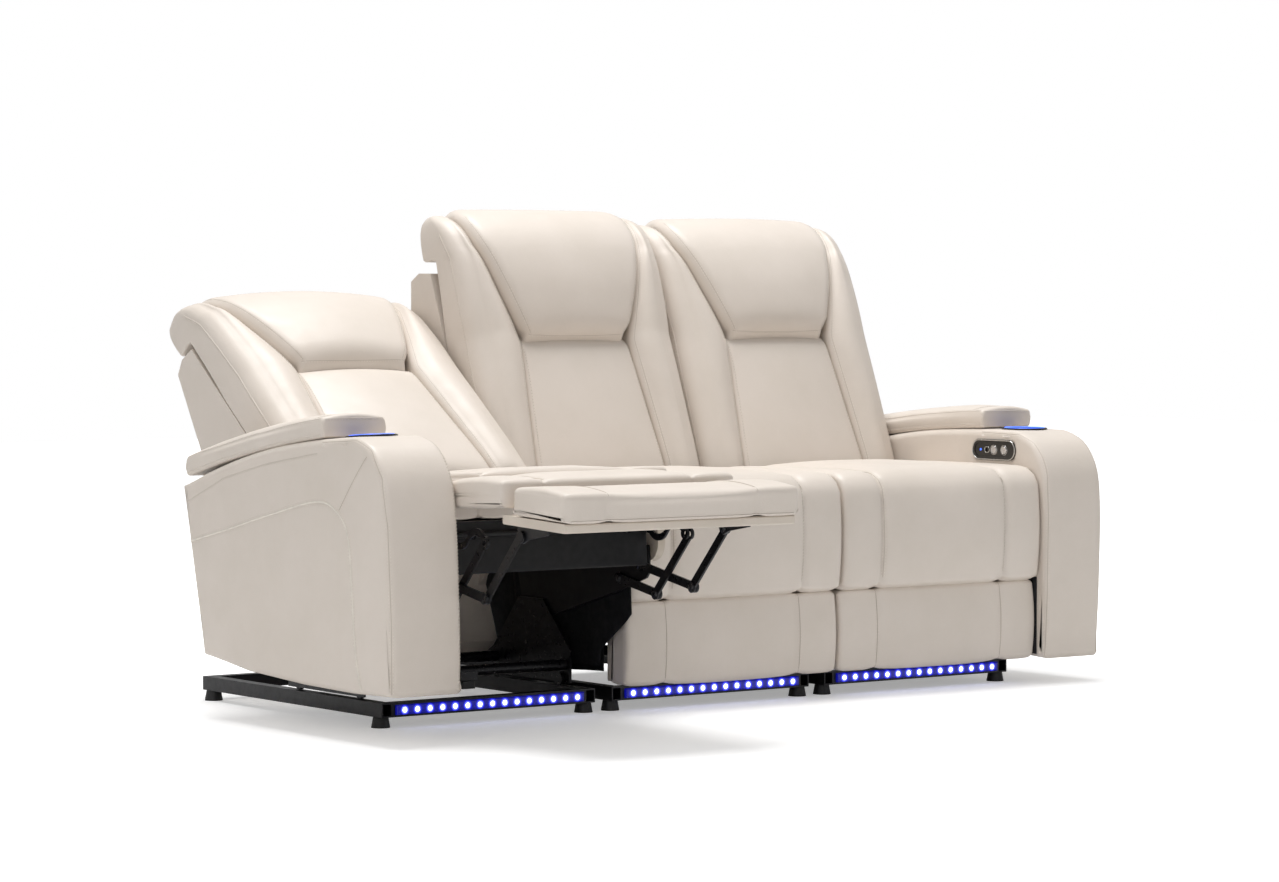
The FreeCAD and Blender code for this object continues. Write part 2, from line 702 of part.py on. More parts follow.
def control_panel():
    half = panel_long / 2
    r = panel_tall / 2
    rim = stadium(arm_inner - panel_proud, arm_inner, half, r)
    body = stadium(arm_inner - 0.5, arm_inner + panel_depth, half - 6, r - 4)
    whole = rim.fuse(body).removeSplitter()
    face = stadium(arm_inner - panel_proud - 1, arm_inner - panel_proud + 1.5, half - 9, r - 9)
    whole = whole.cut(face)
    floor = arm_inner - panel_proud + 1.5
    for y in button_spots():
        whole = whole.cut(rod(arm_inner - 10, floor + button_travel + 3, y, panel_z, button_radius + pin_play))
    for k in range(2):
        y = panel_y + 24.0 + k * 22.0
        whole = whole.cut(rod(arm_inner - 10, floor + 2, y, panel_z, 4.5 - k * 1.5))
    return whole


def panel_button(y):
    floor = arm_inner - panel_proud + 1.5
    cap = rod(floor - button_proud, floor + 2.5, y, panel_z, button_radius)
    return cap.makeFillet(1.0, [e for e in cap.Edges if abs(e.CenterOfMass.x - (floor - button_proud)) < 0.01])


def cup_holder():
    """A spun cup with a flat rim that lies on the arm."""
    top = arm_high + 1.0
    outline = [
        (0, top - cup_depth), (cup_radius - 6, top - cup_depth), (cup_radius, top - cup_depth + 6), (cup_radius, top),
        (cup_rim, top), (cup_rim, top + cup_rim_high - 1), (cup_rim - 1.5, top + cup_rim_high),
        (cup_radius - 1, top + cup_rim_high), (cup_radius - cup_wall, top + 1), (cup_radius - cup_wall, top - cup_depth + 8),
        (cup_radius - 8, top - cup_depth + cup_wall), (0, top - cup_depth + cup_wall),
    ]
    points = [vec(arm_middle + x, cup_y, z) for x, z in outline]
    face = Part.Face(Part.makePolygon(points + [points[0]]))
    return face.revolve(vec(arm_middle, cup_y, 0), vec(0, 0, 1), 360)


lid_slope = math.atan2(55.0, lid_rear - lid_front)


def lid_low(y):
    """Height of the lid's underside, a shallow arch that falls to the rear."""
    t = (y - lid_front) / (lid_rear - lid_front)
    return arm_high + 2.2 - 55.0 * t + 40.0 * t * (1 - t)


def arm_lid():
    """A crowned pad with sewn corners, which lifts from its inner edge."""
    x0 = arm_inner + lid_inset
    x1 = arm_outer - lid_inset
    wires = []
    stations = [(0.0, 9.0), (0.03, 2.0), (0.12, 0.0), (0.3, -2.0), (0.55, -2.0), (0.8, 0.0), (0.97, 2.0), (1.0, 9.0)]
    for share, inset in stations:
        y = lid_front + share * (lid_rear - lid_front)
        low = (x0 + max(inset, 0) * 0.4, lid_low(y) + max(inset, 0) * 0.3)
        high = (x1 - max(inset, 0) * 0.4, lid_low(y) + lid_thick - 8.0 - inset)
        wires.append(rounded_wire(lambda a, b, q=y: vec(a, q, b), low, high, (5, 5, 14, 14), (0, 1.5, 7, 1.5)))
    return loft(wires)


def mirror_x(shapes):
    return [shape.mirror(vec(0, 0, 0), vec(1, 0, 0)) for shape in shapes]


# Put the sofa together
def build_section(name, middle):
    """Every node of one section, closed, under the name of the body that carries it."""
    return {
        "glide": {"glide_carriage": glide_carriage(middle)},
        "seat": {"seat_frame": seat_frame(middle), "seat_cushion": [seat_cushion(middle)]},
        "back": {"back_shell": back_shell(middle), "back_cushion": back_cushion(middle)},
        "headrest": {"headrest": headrest(middle)},
        "flap": {"footrest_flap": [footrest_flap(middle)]},
        "board": {"footrest_board": footrest_board(middle), "footrest_pad": [footrest_pad(middle)]},
        "front_link": {"front_links": front_links(middle)},
        "long_link": {"long_links": long_links(middle)},
        "rear_link": {"rear_links": rear_links(middle)},
        "cross_link": {"cross_links": cross_links(middle)},
        "s_link": {"s_links": s_links(middle)},
    }


def open_up(carrier, solids):
    """Move one carrier's pieces from the closed section to the fully open one."""
    if carrier == "glide":
        return moved(solids, -glide_travel, 0)
    if carrier in ("back", "headrest"):
        turned(solids, recline_y, recline_z, recline_angle)
    if carrier == "flap":
        turned(solids, flap_y, flap_z, flap_angle)
    if carrier == "s_link":
        turned(solids, *cross_rod, s_turn)
    if carrier == "front_link":
        turned(solids, *front_pivot, front_turn)
    if carrier == "rear_link":
        turned(solids, *rear_pivot, front_turn)
    if carrier in ("long_link", "board"):
        knee = along(front_pivot, front_length, front_open)
        moved(solids, knee[0] - front_knee[0], knee[1] - front_knee[1])
        turned(solids, *knee, long_turn)
        if carrier == "board":
            end = along(knee, long_length, long_open)
            turned(solids, *end, board_angle - long_turn)
    if carrier == "cross_link":
        knee = open_rear_knee
        moved(solids, knee[0] - rear_knee[0], knee[1] - rear_knee[1])
        turned(solids, *knee, long_turn)
    return open_section(solids)


def main():
    frames = [s for middle in sections.values() for s in floor_frame(middle)]
    ties = [s for name in ("left", "centre") for s in frame_ties(sections[name])]
    write("floor_frames", frames + ties)
    write("feet", [s for middle in sections.values() for s in feet(middle)])
    write("light_strips", [light_strip(middle) for middle in sections.values()])
    write("drive_motors", [drive_motor(middle) for middle in sections.values()])
    for name, middle in sections.items():
        for carrier, nodes in build_section(name, middle).items():
            for node, solids in nodes.items():
                if name == "centre" and carrier == "headrest":
                    turned(solids, head_y, head_z, -headrest_raised)
                if name == "left":
                    open_up(carrier, solids)
                write(name + "_" + node, solids)
    arm = {
        "arm_body": [arm_body()],
        "arm_lid": [arm_lid()],
        "cup_holder": [cup_holder()],
        "control_panel": [control_panel()],
        "front_button": [panel_button(button_spots()[0])],
        "rear_button": [panel_button(button_spots()[1])],
    }
    for node, solids in arm.items():
        write("right_" + node, solids)
        write("left_" + node, open_section(mirror_x(solids)))


if __name__ == "__main__":
    main()
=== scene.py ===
# %% [markdown]
# # A reclining sofa, dressed over its CAD frame
# The CAD frame gives every body, joint and hard part. This script adds what is soft:
# seats, footrest pads, backs, headrests, arms and lids.
# Then come the materials, light and camera of the photograph.
# Each soft form is drawn for one closed section, with X from the section's middle.
# It is then carried to its place.

# %% Load the frame
import json
import math
import bmesh
import bpy
import numpy as np
from mathutils import Matrix, Vector
from mathutils.bvhtree import BVHTree

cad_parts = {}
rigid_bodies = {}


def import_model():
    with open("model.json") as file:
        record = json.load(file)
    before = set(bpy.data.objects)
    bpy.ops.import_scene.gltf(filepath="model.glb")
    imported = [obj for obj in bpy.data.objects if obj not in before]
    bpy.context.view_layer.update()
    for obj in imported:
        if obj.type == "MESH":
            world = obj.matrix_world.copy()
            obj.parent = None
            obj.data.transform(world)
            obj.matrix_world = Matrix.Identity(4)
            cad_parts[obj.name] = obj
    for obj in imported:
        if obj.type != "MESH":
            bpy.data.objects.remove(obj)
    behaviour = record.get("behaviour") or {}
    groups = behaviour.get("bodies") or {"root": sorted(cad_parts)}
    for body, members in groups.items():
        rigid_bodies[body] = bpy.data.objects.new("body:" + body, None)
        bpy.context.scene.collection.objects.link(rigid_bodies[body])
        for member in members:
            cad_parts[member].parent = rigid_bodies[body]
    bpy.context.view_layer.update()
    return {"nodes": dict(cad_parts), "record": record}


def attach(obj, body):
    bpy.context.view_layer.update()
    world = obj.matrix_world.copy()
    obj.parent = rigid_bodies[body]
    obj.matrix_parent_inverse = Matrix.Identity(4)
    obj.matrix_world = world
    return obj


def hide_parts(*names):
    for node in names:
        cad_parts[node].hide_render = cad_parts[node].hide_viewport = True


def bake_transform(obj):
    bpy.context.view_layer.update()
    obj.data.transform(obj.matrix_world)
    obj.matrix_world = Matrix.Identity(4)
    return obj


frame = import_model()
nodes = frame["nodes"]


def add_object(name, data):
    obj = bpy.data.objects.new(name, data)
    bpy.context.scene.collection.objects.link(obj)
    return obj


# %% [markdown]
# ## Camera
# It was fitted to the photograph: a long lens, 36 degrees to the sofa's left and almost level.

# %% Camera
DEPTH_MIDDLE = 192.0
camera = add_object("camera", bpy.data.cameras.new("camera"))
camera.data.sensor_width = 36.0
camera.data.lens = 36.0 * 4000.0 / 1279.0
camera.data.clip_end = 60.0
camera.location = (-5.2308, -6.8011 - DEPTH_MIDDLE / 1000, 0.9001)
camera.rotation_euler = (math.radians(90.0 - 2.177), 0.0, math.radians(-36.118))
bpy.context.scene.camera = camera

# %% [markdown]
# ## Where each piece goes
# Sizes are in millimetres, as in the CAD source. Y counts from the front of the closed arms.
# It is shifted at the end.
# The left section is open, so its pieces go through the same turns as the CAD bodies.

# %% Places
SECTIONS = {"left": -580.0, "centre": 0.0, "right": 580.0}
ARM_SIDES = (("left", True), ("right", False))
TRAVEL, TILT, RECLINE, FLAP, BOARD, HEAD_TIP = 222.0, 4.5, 27.0, 88.0, 83.0, 6.0
TILT_AT, RECLINE_AT, FLAP_AT = (548.0, 200.0), (635.0, 364.0), (40.0, 450.0)
FRONT_PIVOT, FRONT_LENGTH = (145.0, 295.0), 199.0
FRONT_CLOSED, FRONT_OPEN, LONG_OPEN = 291.3, 194.9, 136.9
BOARD_PIVOT = (126.0, 255.0)
BOARD_BACK = 102.0
LEAN, BACK_AT = math.radians(21.0), (485.0, 478.0)


def lean(x, up, out):
    """A point on the back: up along the lean, out towards the sitter."""
    y = BACK_AT[0] + up * math.sin(LEAN) - out * math.cos(LEAN)
    return (x, y, BACK_AT[1] + up * math.cos(LEAN) + out * math.sin(LEAN))


HEAD_AT = lean(0, 350.0, -51.0)[1:]


def shift(y, z):
    return Matrix.Translation((0, y, z))


def tip(at, degrees):
    """Turn about a cross axis. Positive tips the top backwards."""
    return shift(*at) @ Matrix.Rotation(math.radians(-degrees), 4, "X") @ shift(-at[0], -at[1])


def along(start, length, degrees):
    a = math.radians(degrees)
    return (start[0] + length * math.cos(a), start[1] + length * math.sin(a))


def opened(part):
    """How a piece on this body moves when its section opens."""
    section = tip((TILT_AT[0] - TRAVEL, TILT_AT[1]), TILT) @ shift(-TRAVEL, 0)
    if part in ("back", "head"):
        return section @ tip(RECLINE_AT, RECLINE)
    if part == "flap":
        return section @ tip(FLAP_AT, FLAP)
    if part == "board":
        low = along(FRONT_PIVOT, FRONT_LENGTH, FRONT_CLOSED)
        high = along(FRONT_PIVOT, FRONT_LENGTH, FRONT_OPEN)
        end = along(high, math.dist(low, BOARD_PIVOT), LONG_OPEN)
        return section @ tip(end, BOARD) @ shift(end[0] - BOARD_PIVOT[0], end[1] - BOARD_PIVOT[1])
    return section


def to_world(section, part):
    """From one section's own millimetres to the row frame in metres."""
    move = opened(part) if section == "left" else Matrix()
    if section == "centre" and part == "head":
        move = tip(HEAD_AT, -HEAD_TIP)
    return Matrix.Scale(0.001, 4) @ Matrix.Translation((SECTIONS[section], -DEPTH_MIDDLE, 0)) @ move


def mirrored(flip):
    return Matrix.Scale(-1, 4, (1, 0, 0)) if flip else Matrix()


# %% [markdown]
# ## Soft forms
# A form is a row of rounded outlines, joined into one closed skin.
# Cloth pressure then fills it between its seams.

# %% Outlines and skins
def outline(corners, radii, bulges, per_side=9, per_corner=5):
    """A closed outline with rounded corners, as points. bulges push out the middle of each side."""
    count = len(corners)
    area = sum(a[0] * b[1] - b[0] * a[1] for a, b in zip(corners, corners[1:] + corners[:1]))
    turn = 1.0 if area > 0 else -1.0
    arcs = []
    for i in range(count):
        p = Vector(corners[i])
        a = (Vector(corners[i - 1]) - p)
        b = (Vector(corners[(i + 1) % count]) - p)
        half = a.angle(b) / 2
        reach = radii[i] / math.tan(half)
        reach = min(reach, a.length * 0.49, b.length * 0.49)
        radius = reach * math.tan(half)
        middle = p + (a.normalized() + b.normalized()).normalized() * (radius / math.sin(half))
        start, end = p + a.normalized() * reach, p + b.normalized() * reach
        arc = []
        for k in range(per_corner):
            t = k / (per_corner - 1)
            d = (start - middle).lerp(end - middle, t)
            arc.append(middle + d.normalized() * radius)
        arcs.append(arc)
    points = []
    for i in range(count):
        points += arcs[i]
        start, end = arcs[i][-1], arcs[(i + 1) % count][0]
        side = end - start
        out = Vector((side.y, -side.x)).normalized() * turn
        for k in range(1, per_side + 1):
            t = k / (per_side + 1)
            points.append(start.lerp(end, t) + out * bulges[i] * 4 * t * (1 - t))
    return np.array([(p.x, p.y) for p in points])


def smooth_rows(keys, positions):
    """Each row of numbers, read between the keyed rows by a smooth curve."""
    keys = np.array(keys, float)
    at, values = keys[:, 0], keys[:, 1:]
    slope = np.gradient(values, at, axis=0)
    result = []
    for x in positions:
        i = int(np.clip(np.searchsorted(at, x) - 1, 0, len(at) - 2))
        h = at[i + 1] - at[i]
        t = (x - at[i]) / h
        a, b = values[i], values[i + 1]
        m, n = slope[i] * h, slope[i + 1] * h
        secant = b - a
        m = np.where(secant * m > 0, np.sign(m) * np.minimum(np.abs(m), 3 * np.abs(secant)), 0)
        n = np.where(secant * n > 0, np.sign(n) * np.minimum(np.abs(n), 3 * np.abs(secant)), 0)
        result.append((2 * t**3 - 3 * t**2 + 1) * a + (t**3 - 2 * t**2 + t) * m
                      + (3 * t**2 - 2 * t**3) * b + (t**3 - t**2) * n)
    return result


def join_rings(bm, rows, closed=False, slot=0):
    """Faces between neighbouring rings of vertices."""
    count = len(rows[0])
    for low, high in zip(rows, rows[1:] + rows[:1] if closed else rows[1:]):
        for i in range(count):
            face = bm.faces.new((low[i], low[(i + 1) % count], high[(i + 1) % count], high[i]))
            face.material_index = slot


def skin(name, rings):
    """One closed mesh from rings of equal length, with flat ends."""
    bm = bmesh.new()
    rows = [[bm.verts.new(p) for p in ring] for ring in rings]
    join_rings(bm, rows)
    caps = [bm.faces.new(rows[0]), bm.faces.new(rows[-1])]
    bmesh.ops.triangulate(bm, faces=caps)
    bmesh.ops.recalc_face_normals(bm, faces=bm.faces)
    return finished(name, bm)


def finished(name, bm):
    mesh = bpy.data.meshes.new(name)
    bm.to_mesh(mesh)
    bm.free()
    mesh.shade_smooth()
    for _ in range(3):
        mesh.materials.append(None)
    return add_object(name, mesh)


def paint(obj, material):
    """Give a piece one material in place of its empty slots."""
    obj.data.materials.clear()
    obj.data.materials.append(material)


def points_of(obj):
    flat = np.empty(len(obj.data.vertices) * 3)
    obj.data.vertices.foreach_get("co", flat)
    return flat.reshape(-1, 3)


def set_points(obj, points):
    obj.data.vertices.foreach_set("co", np.asarray(points, float).ravel())
    obj.data.update()


def normals_of(obj):
    flat = np.empty(len(obj.data.vertices) * 3)
    obj.data.vertex_normals.foreach_get("vector", flat)
    return flat.reshape(-1, 3)


# %% [markdown]
# The cloth holds still where it is sewn, and swells elsewhere. It is worked in metres.
# The swelling is then smoothed over the mesh and limited,
# because the raw cloth has lumps near its held rows.

# %% Filling with cloth pressure
PRESSURE, SLACK, FRAMES = 3.0, 0.006, 14


def fill(obj, held, cap):
    """Swell a skin by at most cap. held is 1 where it is sewn down and 0 where it is free."""
    before = points_of(obj)
    set_points(obj, before * 0.001)
    group = obj.vertex_groups.new(name="held")
    for i, value in enumerate(np.clip(held, 0, 1)):
        if value > 0.01:
            group.add([i], float(value), "REPLACE")
    cloth = obj.modifiers.new("cloth", "CLOTH")
    settings = cloth.settings
    for key, value in (("quality", 5), ("mass", 0.3), ("tension_stiffness", 30), ("compression_stiffness", 30),
                       ("shear_stiffness", 10), ("bending_stiffness", 3.0), ("shrink_min", -SLACK),
                       ("use_pressure", True), ("uniform_pressure_force", PRESSURE),
                       ("vertex_group_mass", "held")):
        setattr(settings, key, value)
    settings.effector_weights.gravity = 0.0
    scene = bpy.context.scene
    cloth.point_cache.frame_start = 1
    cloth.point_cache.frame_end = FRAMES
    for number in range(1, FRAMES + 1):
        scene.frame_set(number)
    solved = obj.evaluated_get(bpy.context.evaluated_depsgraph_get())
    flat = np.empty(len(before) * 3)
    solved.to_mesh().vertices.foreach_get("co", flat)
    after = flat.reshape(-1, 3) * 1000.0
    solved.to_mesh_clear()
    obj.modifiers.clear()
    obj.vertex_groups.clear()
    scene.frame_set(1)
    move = after - before
    pairs = np.empty(len(obj.data.edges) * 2, dtype=np.int64)
    obj.data.edges.foreach_get("vertices", pairs)
    a, b = pairs[0::2], pairs[1::2]
    count = np.bincount(pairs, minlength=len(before)).reshape(-1, 1)
    free = 1.0 - np.clip(held, 0, 1).reshape(-1, 1)
    for _ in range(10):
        total = np.zeros_like(move)
        np.add.at(total, a, move[b])
        np.add.at(total, b, move[a])
        move = (0.45 * move + 0.55 * total / np.maximum(count, 1)) * np.sqrt(free)
    length = np.linalg.norm(move, axis=1, keepdims=True)
    move *= np.minimum(1.0, cap / np.maximum(length, 1e-9))
    set_points(obj, before + move)


def groove(obj, distance, depth, width):
    """Press a channel into the skin where distance, in millimetres, is near zero."""
    points, normals = points_of(obj), normals_of(obj)
    press = depth * np.exp(-((distance(points) / width) ** 2))
    set_points(obj, points - normals * press[:, None])


# %% [markdown]
# A seam is a fine bead in the crease, with a row of stitches on one or both sides. The crease bead's darker
# leather colour is painted shade.
# It is sewn into the piece's own mesh.

# %% Seams and stitches
# The crease slot gets darker leather: painted shade in each seam's crease.
LEATHER_SLOT, THREAD_AND_HIGHLIGHT_SLOT, SHADED_CREASE_SLOT = 0, 1, 2


def resampled(points, step):
    p = np.array(points, float)
    run = np.concatenate([[0], np.cumsum(np.linalg.norm(np.diff(p, axis=0), axis=1))])
    count = max(2, int(run[-1] / step) + 1)
    at = np.linspace(0, run[-1], count)
    return np.stack([np.interp(at, run, p[:, k]) for k in range(3)], axis=1)


# By default the bead takes the darker leather, which is painted shade in the crease.
def sew(form, lines, rows=(-3.4, 3.4), bead=0.8, slot=SHADED_CREASE_SLOT, sink=0.25, pitch=7.0):
    """Sew seams onto a form. Each line is a few points near its skin."""
    bm = bmesh.new()
    bm.from_mesh(form.data)
    tree = BVHTree.FromBMesh(bm)
    for line in lines:
        near = [tree.find_nearest(Vector(q)) for q in resampled(line, 4.0)]
        spots = np.array([q[0] for q in near])
        for _ in range(2):
            spots[1:-1] = (spots[:-2] + 2 * spots[1:-1] + spots[2:]) / 4
        rings, sides = [], []
        for k, (_, out, _, _) in enumerate(near):
            ahead = Vector(spots[min(k + 1, len(spots) - 1)] - spots[max(k - 1, 0)]).normalized()
            side = ahead.cross(out).normalized()
            middle = Vector(spots[k]) - out * sink * bead
            ring = [side * math.cos(a * math.pi / 3) + out * math.sin(a * math.pi / 3) for a in range(6)]
            rings.append([bm.verts.new(middle + way * bead) for way in ring])
            sides.append(side)
        join_rings(bm, rings, slot=slot)
        for row in rows:
            offset = [Vector(spot) + side * row for spot, side in zip(spots, sides)]
            stitch_row(bm, tree, resampled(offset, pitch))
    for face in bm.faces:
        face.smooth = True
    bm.to_mesh(form.data)
    bm.free()


def stitch_row(bm, tree, spots, length=4.8, radius=0.78):
    for k in range(len(spots) - 1):
        place, out, _, _ = tree.find_nearest(Vector((spots[k] + spots[k + 1]) / 2))
        ahead = Vector(spots[k + 1] - spots[k]).normalized()
        side = ahead.cross(out).normalized() * radius
        rise = out * radius
        place = place + out * 0.25
        ends = [bm.verts.new(place - ahead * length / 2), bm.verts.new(place + ahead * length / 2)]
        belt = [bm.verts.new(place + d) for d in (side, rise, -side, -rise)]
        for one, two in zip(belt, belt[1:] + belt[:1]):
            for corners in ((ends[0], one, two), (ends[1], two, one)):
                bm.faces.new(corners).material_index = THREAD_AND_HIGHLIGHT_SLOT


def carried(form, name, section, part, mirror=False):
    """A copy of a form at its place in the sofa."""
    mesh = form.data.copy()
    mesh.name = name
    mesh.transform(to_world(section, part) @ mirrored(mirror))
    if mirror:
        mesh.flip_normals()
    return add_object(name, mesh)


# %% [markdown]
# ## Seat and footrest
# These forms run across the section. Their outline is in Y and Z.
# It is drawn in at the sides and at two seams.

# %% Forms that run across
HALF, SEAM = 286.0, 181.0


def across_spots():
    """Places across the width, dense at the sides and seams, with how far the skin is drawn in."""
    right = [(0, 0), (30, 0), (60, 0), (90, 0), (120, 0), (145, 0.3), (162, 1.2), (173, 3.0), (SEAM, 6.0)]
    right += [(189, 3.0), (200, 1.0), (215, 0), (232, 0), (250, 0), (266, 0.6), (276, 2.2)]
    right += [(281, 4.4), (284.5, 7.6), (HALF, 11.5)]
    return [(-x, inset) for x, inset in reversed(right[1:])] + right


def across_form(name, corners, radii, bulges, swell_where, cap, per_side=11):
    rings = []
    for x, inset in across_spots():
        ring = outline(corners, radii, bulges, per_side=per_side)
        ahead, behind = np.roll(ring, -1, axis=0), np.roll(ring, 1, axis=0)
        run = ahead - behind
        run /= np.linalg.norm(run, axis=1, keepdims=True)
        out = np.stack([run[:, 1], -run[:, 0]], axis=1)
        area = np.sum(ring[:, 0] * ahead[:, 1] - ahead[:, 0] * ring[:, 1])
        ring = ring - out * np.sign(area) * inset
        rings.append([(x, y, z) for y, z in ring])
    form = skin(name, rings)
    points = points_of(form)
    sewn = np.exp(-((np.abs(np.abs(points[:, 0]) - SEAM) / 5.0) ** 2))
    sides = np.clip((np.abs(points[:, 0]) - 276.0) / 8.0, 0, 1)
    held = np.maximum(np.maximum(sewn, sides), 1.0 - swell_where(points))
    fill(form, held, cap)
    groove(form, lambda p: np.abs(p[:, 0]) - SEAM, 2.2, 4.0)
    return form


def ramp(values, low, high):
    return np.clip((values - low) / (high - low), 0, 1)


def over_flap(p):
    """The flap's front face, above its lower edge."""
    return ramp(-p[:, 1], -50, -20) * ramp(p[:, 2], 250, 262)


def over_cover(p):
    return np.maximum(ramp(p[:, 2], 440, 480), ramp(-p[:, 1], -50, -20)) * ramp(p[:, 2], 250, 262)


cover_corners = [(465, 402), (466, 494), (2, 498), (7, 242), (66, 242), (69, 420), (88, 402)]
seat_cover = across_form(
    "seat_cover", cover_corners, (12, 22, 56, 12, 5, 12, 8), (0, 3, 6, 6, 0, 0, 0), over_cover, 9.0)
seat_corners = [(465, 402), (466, 494), (55, 496), (60, 474), (69, 460), (72, 402)]
seat_open = across_form(
    "seat_open", seat_corners, (12, 22, 15, 3, 6, 4), (0, 3, 5, 0, 0, 0),
    lambda p: ramp(p[:, 2], 470, 488), 8.0)
flap_corners = [(66, 476), (13, 476), (8, 243), (66, 243)]
flap_open = across_form("flap_open", flap_corners, (25, 22, 12, 5), (0, 7, 0, 0), over_flap, 6.0)
pad_corners = [(83.7, 239.5), (24, 239), (22, 58), (83.7, 60)]
pad_form = across_form(
    "pad_form", pad_corners, (4, 12, 14, 5), (0, 6, 0, 0), lambda p: ramp(-p[:, 1], -62, -44), 5.0)



def both_seams(*line):
    """The same line in Y and Z along the left and the right seam."""
    return [[(x, y, z) for y, z in line] for x in (-SEAM, SEAM)]


sew(seat_cover, both_seams(
    (455, 500), (300, 505), (150, 505), (60, 500), (22, 486), (6, 465), (0, 430), (-4, 340), (2, 262)))
sew(seat_open, both_seams((455, 500), (300, 505), (150, 505), (64, 500)))
sew(flap_open, both_seams((30, 478), (8, 455), (0, 360), (2, 262)))
sew(pad_form, both_seams((60, 241), (30, 238), (19, 180), (18, 120), (30, 60)))
sew(pad_form, [[(x, y, z) for x in (-270, 0, 270)] for y, z in ((78, 239.5), (79, 59))],
    rows=(-3.2,), bead=1.6, slot=LEATHER_SLOT)

# %% [markdown]
# ## Back
# The lumbar panel, the wings and the headrest pad run up the lean.
# A wing is one skin past the headrest's hinge.

# %% Forms that run up the lean
PANEL = [(-40, 183.0), (350, 148.0), (460, 190.0), (560, 222.0), (640, 236.0), (700, 240.0)]


def read_keys(keys, up, column=1):
    """One column of keyed rows, read between their heights."""
    return float(np.interp(up, [k[0] for k in keys], [k[column] for k in keys]))


def panel_half(up):
    return read_keys(PANEL, up)


def lean_form(name, keys, positions, held_where, cap):
    """keys rows: up, x0, x1, front, rear, radius at x0, radius at x1, bulge."""
    rings = []
    for up, (x0, x1, front, rear, r0, r1, bulge) in zip(positions, smooth_rows(keys, positions)):
        corners = [(x0, rear), (x1, rear), (x1, front), (x0, front)]
        ring = outline(corners, (7, 7, r1, r0), (0, 0, bulge, 0))
        rings.append([lean(x, up, out) for x, out in ring])
    form = skin(name, rings)
    fill(form, held_where(form), cap)
    return form


def lean_coordinates(points):
    y, z = points[:, 1] - BACK_AT[0], points[:, 2] - BACK_AT[1]
    return y * math.sin(LEAN) + z * math.cos(LEAN), -y * math.cos(LEAN) + z * math.sin(LEAN)


def spots_of(form):
    """Sideways place, half width of the middle panel there, height up the lean and depth, for each point."""
    points = points_of(form)
    up, out = lean_coordinates(points)
    return points[:, 0], np.array([panel_half(u) for u in up]), up, out


def held_lumbar(form):
    x, half, up, out = spots_of(form)
    side = half - np.abs(x)
    free = ramp(side, 2, 14) * ramp(out, -60, -30) * ramp(up, -36, -20) * ramp(-up, -336, -322)
    return 1.0 - free


lumbar_rows = []
for up, half, front, rounding, bulge in [
    (-40, 176, -26, 12, 5), (-20, 178, -14, 14, 10), (20, 178, -10, 16, 12), (160, 166, -10, 16, 13),
    (280, 155, -10, 16, 12), (325, 150, -16, 12, 10), (344, 147, -30, 8, 6),
]:
    lumbar_rows.append((up, -half, half, front, -110, rounding, rounding, bulge))
lumbar_spots = [-40, -34, -24, -10, 10, 35, 60, 90, 120, 150, 180, 205, 230, 250, 268, 284, 298]
lumbar_spots += [310, 320, 330, 338, 344]
lumbar = lean_form("lumbar", lumbar_rows, lumbar_spots, held_lumbar, 12.0)


def held_wing(form):
    x, half, up, out = spots_of(form)
    inner = x - half
    free = ramp(inner, 2, 14) * ramp(out, -95, -60) * ramp(up, -36, -20) * ramp(-up, -650, -640)
    return 1.0 - free


wing_rows = []
for up, outer, front, rear, inner_round, outer_round, bulge in [
    (-40, 276, -30, -110, 10, 26, 5), (-25, 282, -16, -110, 12, 32, 7), (20, 286, -8, -110, 14, 38, 9),
    (160, 286, -5, -110, 14, 38, 10), (330, 286, -3, -110, 14, 38, 10), (460, 286, -6, -104, 12, 36, 8),
    (540, 285, -16, -104, 12, 34, 7), (549, 285, -19, -106, 12, 34, 7), (556, 285, -22, -152, 12, 34, 7),
    (600, 284, -42, -155, 10, 30, 5), (630, 281, -68, -152, 9, 24, 3), (646, 276, -92, -146, 8, 18, 2),
    (654, 270, -108, -136, 6, 10, 1),
]:
    wing_rows.append((up, panel_half(up) + 1.5, outer, front, rear, inner_round, outer_round, bulge))
wing_spots = [-40, -32, -22, -8, 12, 40, 70, 100, 130, 160, 190, 220, 250, 280, 305, 325, 338, 350, 362]
wing_spots += [376, 394, 415, 438, 460, 482, 502, 520, 534, 542, 547, 551, 555, 560, 570, 584, 598, 612]
wing_spots += [624, 634, 642, 649, 654]
wing = lean_form("wing", wing_rows, wing_spots, held_wing, 7.0)


def held_head(form):
    x, half, up, out = spots_of(form)
    side = half - np.abs(x)
    free = ramp(side, 2, 12) * ramp(out, -95, -70) * ramp(up, 344, 352)
    free = np.maximum(free, ramp(side, 2, 12) * ramp(up, 600, 620))
    return 1.0 - free


head_keys = []
for up, front, rear, rounding, bulge, drawn in [
    (322, -40, -70, 10, 0, 6), (330, -24, -84, 14, 2, 6), (340, -6, -94, 18, 5, 9),
    (352, 6, -98, 22, 8, 9), (366, 13, -99, 26, 11, 3), (400, 18, -99, 30, 14, 0),
    (460, 18, -101, 32, 16, 0), (520, 10, -102, 32, 16, 0), (552, 2, -104, 32, 16, 0),
    (558, 0, -152, 32, 16, 0), (600, -20, -155, 32, 15, 0), (632, -46, -152, 30, 14, 4),
    (654, -74, -146, 26, 11, 14), (668, -104, -136, 14, 6, 30),
]:
    half = panel_half(max(up, 350)) - 1.5 - drawn
    head_keys.append((up, -half, half, front, rear, rounding, rounding, bulge))
head_spots = [322, 326, 332, 338, 345, 353, 362, 374, 388, 405, 425, 445, 465, 485, 505, 522, 536, 546]
head_spots += [552, 555, 558, 563, 574, 588, 602, 616, 628, 638, 647, 655, 661, 665, 668]
head_pad = lean_form("head_pad", head_keys, head_spots, held_head, 14.0)


